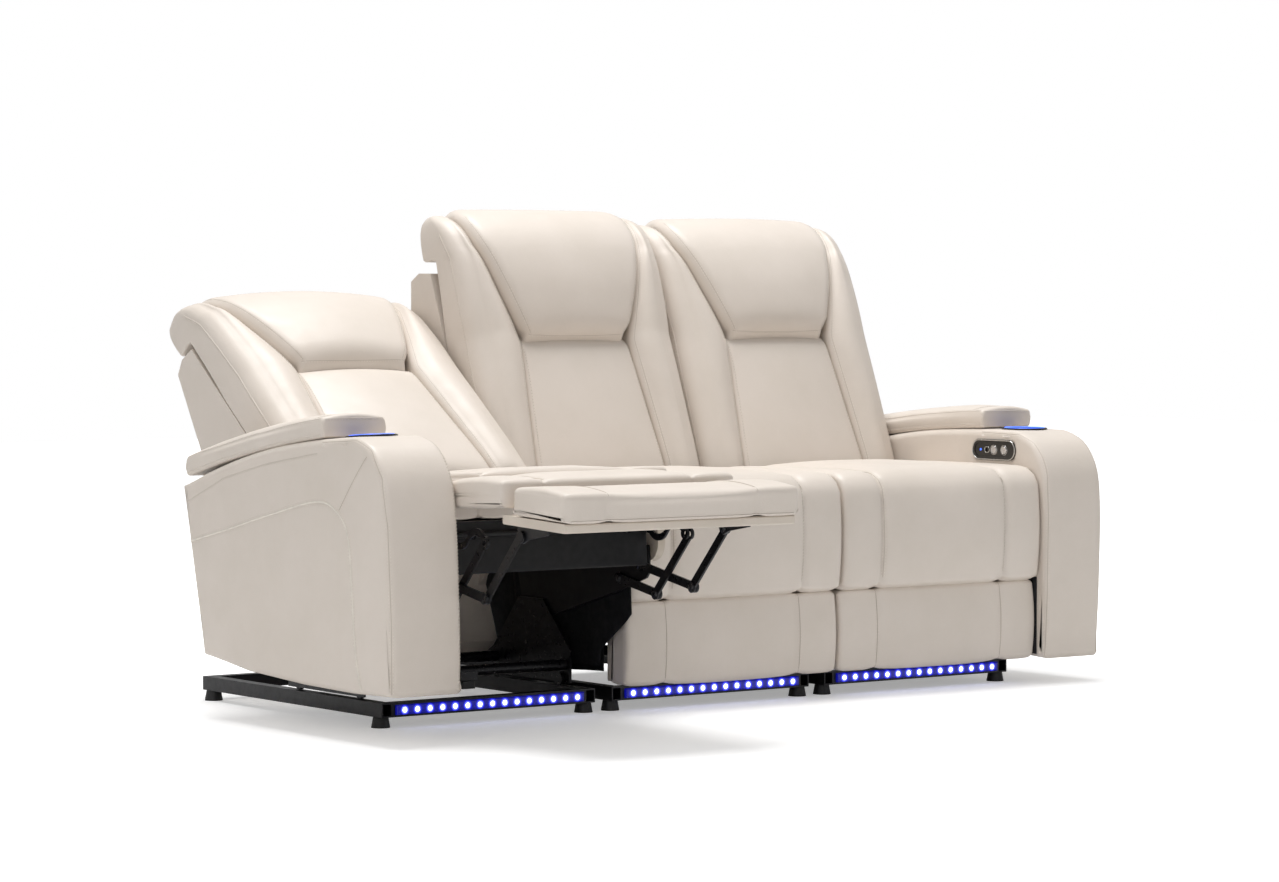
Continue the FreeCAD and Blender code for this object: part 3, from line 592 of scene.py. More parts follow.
def front_line_of(keys, spots, side, inset):
    """A line along a lean form's side, inset from its edge, on its front."""
    line = []
    for up in spots:
        x0, x1, front = (read_keys(keys, up, i) for i in (1, 2, 3))
        line.append(lean(x1 - inset if side > 0 else x0 + inset, up, front))
    return line


lumbar_keys = [(-40, -176, 176, -26), (20, -178, 178, -8), (160, -166, 166, -8), (280, -155, 155, -8)]
lumbar_keys.append((344, -147, 147, -28))
body_spots = [-20, 20, 60, 110, 160, 210, 260, 300, 330]
sew(lumbar, [front_line_of(lumbar_keys, body_spots, side, 9) for side in (-1, 1)], rows=(0.0,), bead=0.4)
wing_seen = [-20, 40, 100, 160, 220, 280, 330, 380, 440, 500, 540, 570, 600, 625, 640]
sew(wing, [front_line_of(wing_rows, wing_seen, -1, 8)], rows=(-2.6, 2.6), bead=0.5)
outer_line = [lean(290, up, read_keys(wing_rows, up, 3) - 30) for up in wing_seen[:-2]]
sew(wing, [outer_line], rows=(3.2,), bead=1.5, slot=LEATHER_SLOT)
head_seen = [350, 370, 400, 440, 480, 520, 550, 580, 605, 625, 642]
sew(head_pad, [front_line_of(head_keys, head_seen, side, 9) for side in (-1, 1)], rows=(-2.4, 2.4), bead=0.5)
sew(head_pad, [[lean(x, 346, 2) for x in (-138, -70, 0, 70, 138)]], rows=(2.6,), bead=0.6)

# %% [markdown]
# ## Place the soft forms
# The centre and right seats carry one cover over the footrest hinge. Such pieces stay where they are, on no
# body.

# %% Copies in each section
soft = []


def keep(obj, body, *replaced, fullness=0.8, bends=None):
    """Keep a soft piece on its body, in place of the solids it replaces. Given bends, (second body, start, end)
    where it crosses a joint, the piece stays where it is, on no body; the values in bends are not read.
    """
    if bends:
        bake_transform(obj)
    else:
        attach(obj, body)
    if replaced:
        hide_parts(*replaced)
    soft.append(obj)
    return obj


def world_point(section, part, point):
    return tuple(to_world(section, part) @ Vector(point))


for section in SECTIONS:
    if section == "left":
        keep(carried(seat_open, "left_seat_pad", section, "seat"), "left_seat", "left_seat_cushion")
        keep(carried(flap_open, "left_flap_pad", section, "flap"), "left_flap", "left_footrest_flap")
    else:
        start, end = (world_point(section, "seat", (0, *spot)) for spot in ((62, 478), (24, 452)))
        keep(carried(seat_cover, section + "_seat_cover", section, "seat"), section + "_seat",
             section + "_seat_cushion", section + "_footrest_flap", bends=(section + "_flap", start, end))
    for form, piece, part, solid in (
            (pad_form, "_foot_pad", "board", "_footrest_pad"), (lumbar, "_lumbar", "back", "_back_cushion"),
            (head_pad, "_head_pad", "head", "_headrest")):
        keep(carried(form, section + piece, section, part), section + "_" + part, section + solid)
    for side, mirror in (("r", False), ("l", True)):
        piece = carried(wing, section + "_wing_" + side, section, "back", mirror)
        low = world_point(section, "back", lean(0, 322, -51))
        high = world_point(section, "back", lean(0, 378, -51))
        if section == "centre":
            points = points_of(piece)
            base, axis = Vector(low), Vector(high) - Vector(low)
            share = np.clip((points - np.array(base)) @ np.array(axis) / axis.length_squared, 0, 1)
            share = share * share * (3 - 2 * share)
            pivot = to_world(section, "back") @ Vector((0, *HEAD_AT))
            a = np.radians(HEAD_TIP) * share
            y, z = points[:, 1] - pivot.y, points[:, 2] - pivot.z
            points[:, 1] = pivot.y + y * np.cos(a) - z * np.sin(a)
            points[:, 2] = pivot.z + y * np.sin(a) + z * np.cos(a)
            set_points(piece, points)
        keep(piece, section + "_back", bends=(section + "_head", low, high))
for form in (seat_cover, seat_open, flap_open, pad_form, lumbar, wing, head_pad):
    bpy.data.objects.remove(form)
print("soft pieces", len(soft))

# %% [markdown]
# ## Arms and lids
# An arm is a swept outline with full sides.
# Its storage, cup hole and control pocket are cut as in the CAD solid.

# %% Arm
ARM_IN, ARM_OUT = 289.3, 458.0
ARM_FRONT = [(0, 58), (-8, 148), (-13, 260), (-15, 400), (-4, 488), (34, 545), (90, 571), (135, 574.5),
             (200, 575), (260, 575), (400, 569), (530, 555), (660, 533), (785, 505)]
ARM_UNDER = [(785, 505), (756, 326), (727, 147), (641, 130), (556, 112), (447, 98), (339, 84), (244, 75),
             (149, 66), (0, 58)]


def curve_through(points, per_span):
    """A smooth line through points, with its ends kept."""
    p = np.array(points, float)
    p = np.vstack([2 * p[0] - p[1], p, 2 * p[-1] - p[-2]])
    line = []
    for i in range(1, len(p) - 2):
        for t in np.linspace(0, 1, per_span, endpoint=False):
            a, b, c, d = p[i - 1], p[i], p[i + 1], p[i + 2]
            square, cube = (2 * a - 5 * b + 4 * c - d) * t**2, (3 * b - a - 3 * c + d) * t**3
            line.append(0.5 * (2 * b + (c - a) * t + square + cube))
    return line + [p[-2]]


def arm_ring():
    line = curve_through(ARM_FRONT, 7)
    for a, b in zip(ARM_UNDER[:-1], ARM_UNDER[1:]):
        a, b = np.array(a, float), np.array(b, float)
        line += [a + (b - a) * t for t in np.linspace(0, 1, 5)[1:]]
    return np.array(line[:-1])


def inward(ring, inset):
    """The ring drawn in by an inset, and its corners softened."""
    ahead, behind = np.roll(ring, -2, axis=0), np.roll(ring, 2, axis=0)
    run = ahead - behind
    run /= np.linalg.norm(run, axis=1, keepdims=True)
    area = np.sum(ring[:, 0] * np.roll(ring[:, 1], -1) - np.roll(ring[:, 0], -1) * ring[:, 1])
    out = np.stack([run[:, 1], -run[:, 0]], axis=1) * np.sign(area)
    return ring - out * inset


ARM_ROUND = 15.0


def arm_form():
    """Rounded at both side edges. Each flat side is cut into a grid, and the outer one swells."""
    ring, width = arm_ring(), ARM_OUT - ARM_IN
    turns = [math.radians(a) for a in (90, 70, 50, 32, 15, 0)]
    rim = [(ARM_ROUND * (1 - math.sin(a)), ARM_ROUND * (1 - math.cos(a))) for a in turns]
    places = [(ARM_IN + x, inset) for x, inset in rim]
    places += [(ARM_IN + x, 0.0) for x in np.linspace(30, width - 30, 9)]
    places += [(ARM_OUT - x, inset) for x, inset in reversed(rim)]
    form = skin("arm", [[(x, y, z) for y, z in inward(ring, inset)] for x, inset in places])
    bm = bmesh.new()
    bm.from_mesh(form.data)
    for axis, low, high in ((1, -10, 790), (2, 60, 570)):
        for spot in np.arange(low, high, 26.0):
            flat = [f for f in bm.faces if abs(f.normal.x) > 0.999]
            edges, verts = {e for f in flat for e in f.edges}, {v for f in flat for v in f.verts}
            at, along_axis = Vector((0, 0, 0)), Vector((0, 0, 0))
            at[axis], along_axis[axis] = spot, 1.0
            geometry = flat + list(edges) + list(verts)
            bmesh.ops.bisect_plane(bm, geom=geometry, plane_co=at, plane_no=along_axis)
    for v in bm.verts:
        if abs(v.co.x - ARM_OUT) < 0.01:
            gap = np.min(np.hypot(ring[:, 0] - v.co.y, ring[:, 1] - v.co.z)) - ARM_ROUND
            v.co.x += 5.0 * (1 - math.exp(-max(gap, 0.0) / 45.0))
    bm.normal_update()
    bm.to_mesh(form.data)
    bm.free()
    form.data.shade_smooth()
    return form


def block(name, low, high):
    bm = bmesh.new()
    bmesh.ops.create_cube(bm, size=1.0)
    size = Vector(high) - Vector(low)
    bmesh.ops.scale(bm, vec=size, verts=bm.verts)
    bmesh.ops.translate(bm, vec=(Vector(low) + Vector(high)) / 2, verts=bm.verts)
    return finished(name, bm)


def cut_out(obj, cutters):
    """Cut shapes out of a piece for good."""
    for cutter in cutters:
        cut = obj.modifiers.new("cut", "BOOLEAN")
        cut.object = cutter
        cut.solver = "EXACT"
    mesh = bpy.data.meshes.new_from_object(obj.evaluated_get(bpy.context.evaluated_depsgraph_get()))
    obj.modifiers.clear()
    obj.data = mesh
    for cutter in cutters:
        bpy.data.objects.remove(cutter)


def round_cutter(name, x, y, z0, z1, radius):
    bm = bmesh.new()
    bmesh.ops.create_cone(bm, segments=48, radius1=radius, radius2=radius, depth=z1 - z0, cap_ends=True)
    bmesh.ops.translate(bm, vec=(x, y, (z0 + z1) / 2), verts=bm.verts)
    return finished(name, bm)


def stadium(x, y, z, half, radius, steps=15):
    """A slot's outline with round ends, in a plane across X."""
    ring = []
    for side in (1, -1):
        for a in np.linspace(-90, 90, steps):
            a = math.radians(a)
            run = half - radius + radius * math.cos(a)
            ring.append((x, y + side * run, z + side * radius * math.sin(a)))
    return ring


CUP_Y, CUP_X = 160.0, (ARM_IN + ARM_OUT) / 2
PANEL_Y, PANEL_Z = 169.0, 529.0
arm = arm_form()
cut_out(arm, [
    block("store", (ARM_IN + 24, 280, 300), (ARM_OUT - 24, 735, 700)),
    round_cutter("cup", CUP_X, CUP_Y, 502.5, 700, 42.6),
    skin("pocket", [stadium(x, PANEL_Y, PANEL_Z, 69.5, 20.5, 13) for x in (ARM_IN - 20, ARM_IN + 17)]),
])

outer_seam = [(4, 2, 64), (4, -8, 200), (4, -11, 390), (5, 2, 488), (6, 38, 544), (8, 88, 563), (8, 215, 566)]
inner_seam = [(5, -2, 64), (5, -9, 200), (5, -12, 390), (6, -6, 490), (6, 8, 520), (7, 40, 549)]
inner_seam += [(8, 88, 563), (8, 215, 566)]
sew(arm, [[(ARM_OUT - inset, y, z) for inset, y, z in outer_seam]])
sew(arm, [[(ARM_IN + inset, y, z) for inset, y, z in inner_seam]])
side_x = ARM_OUT + 4
welt = curve_through([(765, 385), (591, 407), (428, 430), (239, 451), (162, 428), (124, 379), (118, 279),
                      (116, 166), (108, 66)], 8)
# The welt's bead takes the thread's lighter cream: a painted highlight along the raised welt. The stitches
# beside it are real thread.
sew(arm, [[(side_x, y, z) for y, z in welt]], rows=(-4.6, 4.6), bead=2.2, slot=THREAD_AND_HIGHLIGHT_SLOT, sink=0.35)
sew(arm, [[(side_x, 152, 431), (side_x, 100, 483), (side_x, 47, 533)]], rows=(-2.6, 2.6))
upper_seam = ((762, 470), (600, 515), (430, 536), (230, 548))
sew(arm, [[(side_x, y, z) for y, z in upper_seam]], rows=(-2.6,), bead=0.5)


# %% Lid
def lid_low(y):
    t = (y - 222.0) / 560.0
    return 577.2 - 55.0 * t + 40.0 * t * (1 - t)


def lid_form():
    rings = []
    places = [(222, 9), (222.6, 6), (224.5, 3.2), (228, 1.2), (233, 0.3), (242, 0), (258, 0)]
    places += [(y, 0) for y in range(280, 730, 24)]
    places += [(752, 0), (768, 0.3), (774, 1.2), (778, 3.2), (781, 6), (782, 9)]
    for y, inset in places:
        low = lid_low(y) + inset * 0.55
        high = lid_low(y) + 43 - inset * 0.8
        x0, x1 = ARM_IN + 9 + inset * 0.5, ARM_OUT - 9 - inset * 0.5
        corners = [(x0, low), (x1, low), (x1, high), (x0, high)]
        ring = outline(corners, (7, 7, 9, 9), (0, 2, 7 - inset * 0.3, 2), per_side=11)
        rings.append([(x, y, z) for x, z in ring])
    form = skin("lid", rings)
    points = points_of(form)
    above = points[:, 2] - np.array([lid_low(y) for y in points[:, 1]])
    corner = np.exp(-((points[:, 1] - 262.0) / 5.0) ** 2)
    held = np.maximum(1 - ramp(above, 14, 34), corner * 0.9)
    fill(form, held, 5.0)
    groove(form, lambda p: np.where(p[:, 2] > 590 - (p[:, 1] - 222) * 0.1, p[:, 1] - 262.0, 99), 1.8, 3.5)
    return form


lid = lid_form()
long_way = (232, 300, 400, 500, 600, 700, 774)
lid_low_edge = [[(x, y, lid_low(y) + 8) for y in long_way] for x in (ARM_IN + 9, ARM_OUT - 9)]
lid_top_edge = [[(x, y, lid_low(y) + 40) for y in long_way] for x in (ARM_IN + 12, ARM_OUT - 12)]
lid_top_edge.append([(x, 223, lid_low(223) + 39) for x in (ARM_IN + 16, ARM_OUT - 16)])
sew(lid, lid_low_edge, rows=(3.0,), bead=1.5, slot=LEATHER_SLOT)
sew(lid, lid_top_edge, rows=(3.0,), bead=1.2, slot=LEATHER_SLOT)
across_lid = [(x, 262, lid_low(262) + 50) for x in (ARM_IN + 14, CUP_X, ARM_OUT - 14)]
sew(lid, [across_lid], rows=(-2.6, 2.6), bead=0.6)
for section, mirror in ARM_SIDES:
    cover = carried(arm, section + "_arm_cover", section, "seat", mirror)
    keep(cover, section + "_seat", section + "_arm_body", fullness=1.0)
    lid_pad = carried(lid, section + "_lid_pad", section, "seat", mirror)
    keep(lid_pad, section + "_lid", section + "_arm_lid")
bpy.data.objects.remove(arm)
bpy.data.objects.remove(lid)

# %% [markdown]
# ## Materials
# Each surface gets its own grain, wear and gloss. The patterns read Object coordinates, in metres.

# %% Materials
class Nodes:
    """A short way to wire a material."""

    def __init__(self, name):
        self.material = bpy.data.materials.new(name)
        self.material.use_nodes = True
        self.tree = self.material.node_tree
        self.shader = self.tree.nodes["Principled BSDF"]
        self.place = self.add("ShaderNodeTexCoord").outputs["Object"]

    def add(self, kind, **inputs):
        node = self.tree.nodes.new(kind)
        for key, value in inputs.items():
            self.put(node, key, value)
        return node

    def put(self, node, key, value):
        """Link or set an input, named by its label or by i and its number."""
        socket = node.inputs[int(key[1:]) if key[0] == "i" and key[1:].isdigit() else key]
        if isinstance(value, bpy.types.NodeSocket):
            self.tree.links.new(value, socket)
        elif socket.type == "RGBA":
            socket.default_value = (*value, 1.0)
        else:
            socket.default_value = value

    def noise(self, scale, detail=4.0, roughness=0.5):
        settings = {"Vector": self.place, "Scale": scale, "Detail": detail, "Roughness": roughness}
        return self.add("ShaderNodeTexNoise", **settings).outputs["Fac"]

    def patches(self, scale, to_low=0.0, to_high=1.0, detail=4.0):
        """Soft noise spread over a range."""
        return self.range(self.noise(scale, detail), 0.3, 0.7, to_low, to_high)

    def combine(self, kind, operation, a, b, output):
        node = self.tree.nodes.new(kind)
        node.operation = operation
        self.put(node, "i0", a)
        self.put(node, "i1", b)
        return node.outputs[output]

    def math(self, operation, a, b=0.0):
        return self.combine("ShaderNodeMath", operation, a, b, 0)

    def vector(self, operation, a, b=(0.0, 0.0, 0.0)):
        return self.combine("ShaderNodeVectorMath", operation, a, b, "Value")

    def range(self, value, low, high, to_low=0.0, to_high=1.0):
        limits = {"From Min": low, "From Max": high, "To Min": to_low, "To Max": to_high}
        return self.add("ShaderNodeMapRange", Value=value, **limits).outputs["Result"]

    def mix(self, share, a, b):
        node = self.tree.nodes.new("ShaderNodeMix")
        node.data_type = "RGBA"
        self.put(node, "Factor", share)
        self.put(node, "i6", a)
        self.put(node, "i7", b)
        return node.outputs[2]

    def bump(self, height, distance, strength=1.0, under=None):
        node = self.add("ShaderNodeBump", Height=height, Distance=distance, Strength=strength)
        if under is not None:
            self.put(node, "Normal", under)
        return node.outputs["Normal"]

    def cells(self, scale, feature="F1"):
        node = self.add("ShaderNodeTexVoronoi", Vector=self.place, Scale=scale)
        node.feature = feature
        return node.outputs["Distance"]

    def finish(self, colour, roughness, normal=None, metallic=0.0, specular=0.5):
        self.put(self.shader, "Base Color", colour)
        self.put(self.shader, "Roughness", roughness)
        self.shader.inputs["Metallic"].default_value = metallic
        self.shader.inputs["Specular IOR Level"].default_value = specular
        if normal is not None:
            self.put(self.shader, "Normal", normal)
        return self.material


def srgb(r, g, b):
    return tuple(((c / 255 + 0.055) / 1.055) ** 2.4 for c in (r, g, b))


def leather(name, light, dark, gloss=0.42):
    """Soft full-grain leather: fine pebbles, faint creases and uneven dye."""
    n = Nodes(name)
    dye = n.range(n.noise(7.0, 5.0, 0.6), 0.35, 0.7)
    fleck = n.range(n.noise(900.0, 2.0), 0.45, 0.75, 0.0, 0.18)
    colour = n.mix(fleck, n.mix(dye, light, dark), tuple(c * 0.86 for c in dark))
    crease = n.bump(n.noise(46.0, 6.0, 0.62), 0.0011, 0.35)
    grain = n.bump(n.cells(720.0, "SMOOTH_F1"), 0.00035, 0.5, crease)
    return n.finish(colour, n.patches(30.0, gloss - 0.05, gloss + 0.08), grain, specular=0.42)


def plastic(name, colour, gloss):
    n = Nodes(name)
    tone = n.mix(n.patches(40.0), colour, tuple(c * 0.82 + 0.002 for c in colour))
    rough = n.patches(120.0, gloss - 0.04, gloss + 0.06)
    return n.finish(tone, rough, n.bump(n.noise(1400.0, 2.0), 0.0002, 0.4))


def steel(name, colour, gloss=0.34, metallic=0.3):
    """Powder coat with small scuffs and a faint orange peel."""
    n = Nodes(name)
    scuff = n.range(n.noise(210.0, 6.0, 0.7), 0.62, 0.78)
    tone = n.mix(scuff, colour, tuple(min(1.0, c * 2.2 + 0.03) for c in colour))
    rough = n.patches(90.0, gloss - 0.06, gloss + 0.1)
    return n.finish(tone, rough, n.bump(n.noise(600.0, 3.0), 0.00025, 0.5), metallic)


CREAM = leather("leather_cream", srgb(222, 212, 202), srgb(217, 207, 196))
# Off-white thread for the stitches. On the arm's welt bead the same lighter cream is a painted highlight.
THREAD_AND_HIGHLIGHT = plastic("thread_cream", srgb(238, 231, 220), 0.6)
# Darker leather for the crease beads: painted shade in the seams' creases.
CREASE_SHADE = leather("leather_crease", srgb(196, 185, 173), srgb(186, 175, 163), 0.55)
MATERIALS = {
    "feet": plastic("foot_plastic", (0.012, 0.012, 0.013), 0.5),
    "drive_motors": plastic("motor_plastic", (0.014, 0.014, 0.016), 0.42),
    "floor_frames": steel("frame_steel", (0.012, 0.012, 0.014)),
    "cup_holder": plastic("cup_plastic", (0.02, 0.024, 0.04), 0.22),
    "control_panel": plastic("panel_plastic", (0.016, 0.015, 0.014), 0.2),
    "link": steel("link_steel", (0.010, 0.010, 0.012), 0.3, 0.4),
    "button": steel("button_metal", (0.62, 0.62, 0.63), 0.25, 1.0),
}


SECTION_PITCH = 0.58
BEFORE_ALL = 2.9                # a whole number of pitches, which keeps the remainder positive
COVERED_SIDE = 0.0205           # the covered panels lie this near the line between two sections


def box_material():
    """The seat box node: beige covered sides, and black lining and steel between them."""
    n = Nodes("seat_box_mix")
    x = n.add("ShaderNodeSeparateXYZ", Vector=n.place).outputs["X"]
    along_pitch = n.math("MODULO", n.math("ADD", x, BEFORE_ALL), SECTION_PITCH)
    offset = n.math("ABSOLUTE", n.math("SUBTRACT", along_pitch, SECTION_PITCH / 2))
    side = n.math("LESS_THAN", offset, COVERED_SIDE)
    black = n.mix(n.patches(60.0), (0.004, 0.004, 0.005), (0.009, 0.009, 0.010))
    beige = n.mix(n.range(n.noise(9.0), 0.35, 0.7), srgb(214, 203, 188), srgb(203, 191, 176))
    weave = n.bump(n.cells(520.0), 0.0003, 0.4)
    return n.finish(n.mix(side, black, beige), n.patches(40.0, 0.36, 0.5), weave, specular=0.3)


def board_material(section):
    """A covered board in the leather's colour. The brackets behind its back face are painted steel."""
    n = Nodes(section + "_board_mix")
    turn = to_world(section, "board")
    out = (turn.to_3x3() @ Vector((0, 1, 0))).normalized()
    plane = out.dot(turn @ Vector((0, BOARD_BACK + 0.4, 0)))
    steel_side = n.math("GREATER_THAN", n.vector("DOT_PRODUCT", n.place, tuple(out)), plane)
    beige = n.mix(n.range(n.noise(9.0), 0.35, 0.7), srgb(214, 203, 190), srgb(205, 194, 181))
    colour = n.mix(steel_side, beige, (0.010, 0.010, 0.012))
    return n.finish(colour, n.patches(60.0, 0.36, 0.5), n.bump(n.noise(700.0, 3.0), 0.0003, 0.5))


BOX = box_material()
for name, node in nodes.items():
    kind = name.split("_", 1)[1] if name.split("_")[0] in SECTIONS else name
    if kind.endswith("links") or kind == "glide_carriage":
        kind = "link"
    if kind.endswith("button"):
        kind = "button"
    chosen = BOX if kind == "seat_frame" else MATERIALS.get(kind, CREAM)
    if kind == "footrest_board":
        chosen = board_material(name.split("_")[0])
    for i in range(max(1, len(node.material_slots))):
        if not node.material_slots:
            node.data.materials.append(chosen)
        else:
            node.material_slots[i].link = "OBJECT"
            node.material_slots[i].material = chosen
for obj in soft:
    while len(obj.data.materials) < 3:
        obj.data.materials.append(None)
    for i, material in enumerate((CREAM, THREAD_AND_HIGHLIGHT, CREASE_SHADE)):
        obj.data.materials[i] = material

# %% [markdown]
# ## Black sheets, painted shade and rivets
# Black sheets hang below each side of a seat box, so that nobody sees through the mechanism.
# A black panel low on each arm's inner face is painted shade.
# The links turn on rivets. Each head sits on the inner face of the two plates that its pin joins.

# %% Black sheets and painted shade
# Black for the hanging sheets and for the arm panels. On the arm panels it is painted shade.
def black_sheet_and_shade_material():
    n = Nodes("lining_black")
    tone = n.mix(n.patches(30.0, detail=5.0), (0.007, 0.007, 0.008), (0.016, 0.016, 0.017))
    weave = n.bump(n.cells(640.0), 0.0004, 0.6)
    return n.finish(tone, n.patches(80.0, 0.62, 0.8), weave, specular=0.25)


def sheet(name, section, bm, thickness):
    """Carry a flat mesh to the seat and give it a thickness."""
    bmesh.ops.transform(bm, matrix=to_world(section, "seat"), verts=bm.verts)
    bmesh.ops.solidify(bm, geom=bm.faces[:], thickness=thickness)
    bmesh.ops.recalc_face_normals(bm, faces=bm.faces)
    cloth = finished(name, bm)
    paint(cloth, BLACK_SHEET_AND_SHADE)
    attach(cloth, section + "_seat")


def side_black_sheet(section, side):
    """A hanging black sheet with soft folds, in line with the seat box's side panel.

    The front edge of the right one slants back, so that it doesn't cover the next seat's front
    in the photograph's view.
    """
    bm = bmesh.new()
    bmesh.ops.create_grid(bm, x_segments=40, y_segments=18, size=0.5)
    for v in bm.verts:
        z = 191.0 + 216.0 * v.co.y
        front = float(np.interp(z, (83, 120, 190, 299), (330, 318, 206, 202))) if side > 0 else 112.0
        y = front + (640.0 - front) * (v.co.x + 0.5)
        loose = (299.0 - z) / 216.0
        fold = 2.6 * math.sin(y / 31.0 + side) + 1.4 * math.sin(y / 13.0 + 2.0)
        v.co = Vector((side * (280.0 + fold * loose), y, z + 3.0 * math.sin(y / 57.0) * loose))
    sheet(section + "_lining_" + ("r" if side > 0 else "l"), section, bm, 0.0012)


def arm_shade_panel(section, side):
    """A thin black panel, low on an arm's inner face, that follows its sloping underside. It is painted shade.
    """
    bm = bmesh.new()
    bmesh.ops.create_grid(bm, x_segments=16, y_segments=8, size=0.5)
    for v in bm.verts:
        y = 180.0 + 320.0 * v.co.x
        low = 66.0 + 0.076 * y
        v.co = Vector((side * (ARM_IN - 0.9), y, low + (244.0 - low) * (v.co.y + 0.5)))
    sheet(section + "_arm_lining", section, bm, 0.0009)


BLACK_SHEET_AND_SHADE = black_sheet_and_shade_material()
# Painted shade: a black panel low on each arm's inner face.
for section, mirror in ARM_SIDES:
    arm_shade_panel(section, -1 if mirror else 1)
for section in SECTIONS:
    for side in (-1, 1):
        side_black_sheet(section, side)

# %% Rivets
def rivet(bm, place, radius=0.0075, high=0.0032):
    """A domed head with a flat washer under it, standing along X."""
    made = bmesh.ops.create_uvsphere(bm, u_segments=16, v_segments=8, radius=radius)
    bmesh.ops.scale(bm, vec=(high / radius, 1.0, 1.0), verts=made["verts"])
    bmesh.ops.translate(bm, vec=place, verts=made["verts"])
    turn = Matrix.Translation(place) @ Matrix.Rotation(math.radians(90), 4, "Y")
    washer = radius * 1.35
    bmesh.ops.create_cone(
        bm, segments=20, radius1=washer, radius2=washer, depth=0.0016, cap_ends=True, matrix=turn)


RIVET = steel("rivet_steel", (0.035, 0.035, 0.037), 0.26, 0.6)
TURNING = [name + "_turn" for name in ("front_link", "long_link", "board", "rear_link", "cross_link", "s_link")]
PIN_REACH = 0.016
SIDE_PLATES = 0.15
behaviour = frame["record"]["behaviour"]
for joint in behaviour["joints"]:
    section = joint["name"].split("_")[0]
    if joint["name"][len(section) + 1:] not in TURNING:
        continue
    anchor = joint["pos_m"]
    middle = SECTIONS[section] / 1000
    near = []
    for body in (joint["parent"], joint["child"]):
        for node_name in behaviour["bodies"][body]:
            points = points_of(nodes[node_name])
            close = np.hypot(points[:, 1] - anchor[1], points[:, 2] - anchor[2]) < PIN_REACH
            off = np.abs(points[close, 0] - middle)
            near += list(off[off > SIDE_PLATES])
    if not near:
        continue
    inner = min(near)
    bm = bmesh.new()
    for side in (-1, 1):
        rivet(bm, (middle + side * (inner - 0.0008), anchor[1], anchor[2]))
    heads = finished(joint["name"] + "_rivets", bm)
    paint(heads, RIVET)
    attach(heads, joint["child"])
print("rivets and linings are on")

# %% [markdown]
# ## Lights on the sofa
# Each floor strip has fifteen white-hot dots in a blue bar, and each cup holder a lit blue ring.

# %% Small lights
DOTS, DOT_PITCH, DOT_HEIGHT = 15, 0.031, 0.037
STRIP_FRONT = 92.0


def glow(name, colour, strength):
    n = Nodes(name)
    n.put(n.shader, "Emission Color", colour)
    n.put(n.shader, "Emission Strength", strength)
    return n.finish(colour, 0.3)


def dots(name, spots, radius, squeeze):
    bm = bmesh.new()
    for spot in spots:
        ball = bmesh.ops.create_uvsphere(bm, u_segments=14, v_segments=9, radius=radius)
        bmesh.ops.scale(bm, vec=squeeze, verts=ball["verts"])
        bmesh.ops.translate(bm, vec=spot, verts=ball["verts"])
    return finished(name, bm)


def ring_tube(name, radius, thick, middle, turn):
    """A round tube bent into a ring."""
    bm = bmesh.new()
    rows = []
    for a in np.linspace(0, 2 * math.pi, 64, endpoint=False):
        row = []
        for b in np.linspace(0, 2 * math.pi, 10, endpoint=False):
            r = radius + thick * math.cos(b)
            row.append(bm.verts.new((r * math.cos(a), r * math.sin(a), thick * math.sin(b))))
        rows.append(row)
    join_rings(bm, rows, closed=True)
    bmesh.ops.reverse_faces(bm, faces=bm.faces)
    bmesh.ops.transform(bm, matrix=turn @ Matrix.Translation(middle), verts=bm.verts)
    return finished(name, bm)


def strip_material():
    """A dark blue bar with a halo round each of its fifteen dots."""
    n = Nodes("light_strip_blue")
    where = n.add("ShaderNodeSeparateXYZ", Vector=n.place)
    half, half_dot = SECTION_PITCH / 2, DOT_PITCH / 2
    moved = n.math("MODULO", n.math("ADD", where.outputs["X"], BEFORE_ALL + half), SECTION_PITCH)
    near_dot = n.math("ADD", n.math("SUBTRACT", moved, half), 10 * DOT_PITCH + half_dot)
    off = n.math("SUBTRACT", n.math("MODULO", near_dot, DOT_PITCH), half_dot)
    rise = n.math("SUBTRACT", where.outputs["Z"], DOT_HEIGHT)
    far = n.math("SQRT", n.math("ADD", n.math("MULTIPLY", off, off), n.math("MULTIPLY", rise, rise)))
    colour = n.mix(n.range(far, 0.0035, 0.009), (0.42, 0.5, 1.0), (0.010, 0.014, 0.75))
    n.put(n.shader, "Emission Color", colour)
    halo, wide = n.range(far, 0.004, 0.0115, 1.9, 0.0), n.range(far, 0.0, 0.016, 0.6, 0.26)
    n.put(n.shader, "Emission Strength", n.math("ADD", halo, wide))
    return n.finish((0.004, 0.005, 0.05), 0.22)


BLUE = strip_material()
HOT = glow("light_hot", (0.72, 0.80, 1.0), 9.0)
RING = glow("ring_blue", (0.06, 0.16, 1.0), 2.0)
nodes["light_strips"].material_slots[0].link = "OBJECT"
nodes["light_strips"].material_slots[0].material = BLUE
for section, middle in SECTIONS.items():
    front, reach = (STRIP_FRONT - DEPTH_MIDDLE) / 1000, 217
    spots = [((middle + x) / 1000, front, DOT_HEIGHT) for x in np.linspace(-reach, reach, DOTS)]
    lamps = dots(section + "_light_dots", spots, 0.0046, (1.0, 0.32, 1.0))
    paint(lamps, HOT)
    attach(lamps, "floor_frame")
for section, mirror in ARM_SIDES:
    place = to_world(section, "seat") @ mirrored(mirror)
    lit = ring_tube(section + "_cup_ring", 45.0, 1.3, (CUP_X, CUP_Y, 579.0), place)
    paint(lit, RING)
    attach(lit, section + "_seat")

# %% [markdown]
# ## Trim of the control panels
# A bright bezel frames each black panel, and each button stands in a ring.
# A socket frame and a small blue light sit behind them.

# %% Panel trim
CHROME = steel("bright_trim", (0.55, 0.54, 0.52), 0.2, 1.0)


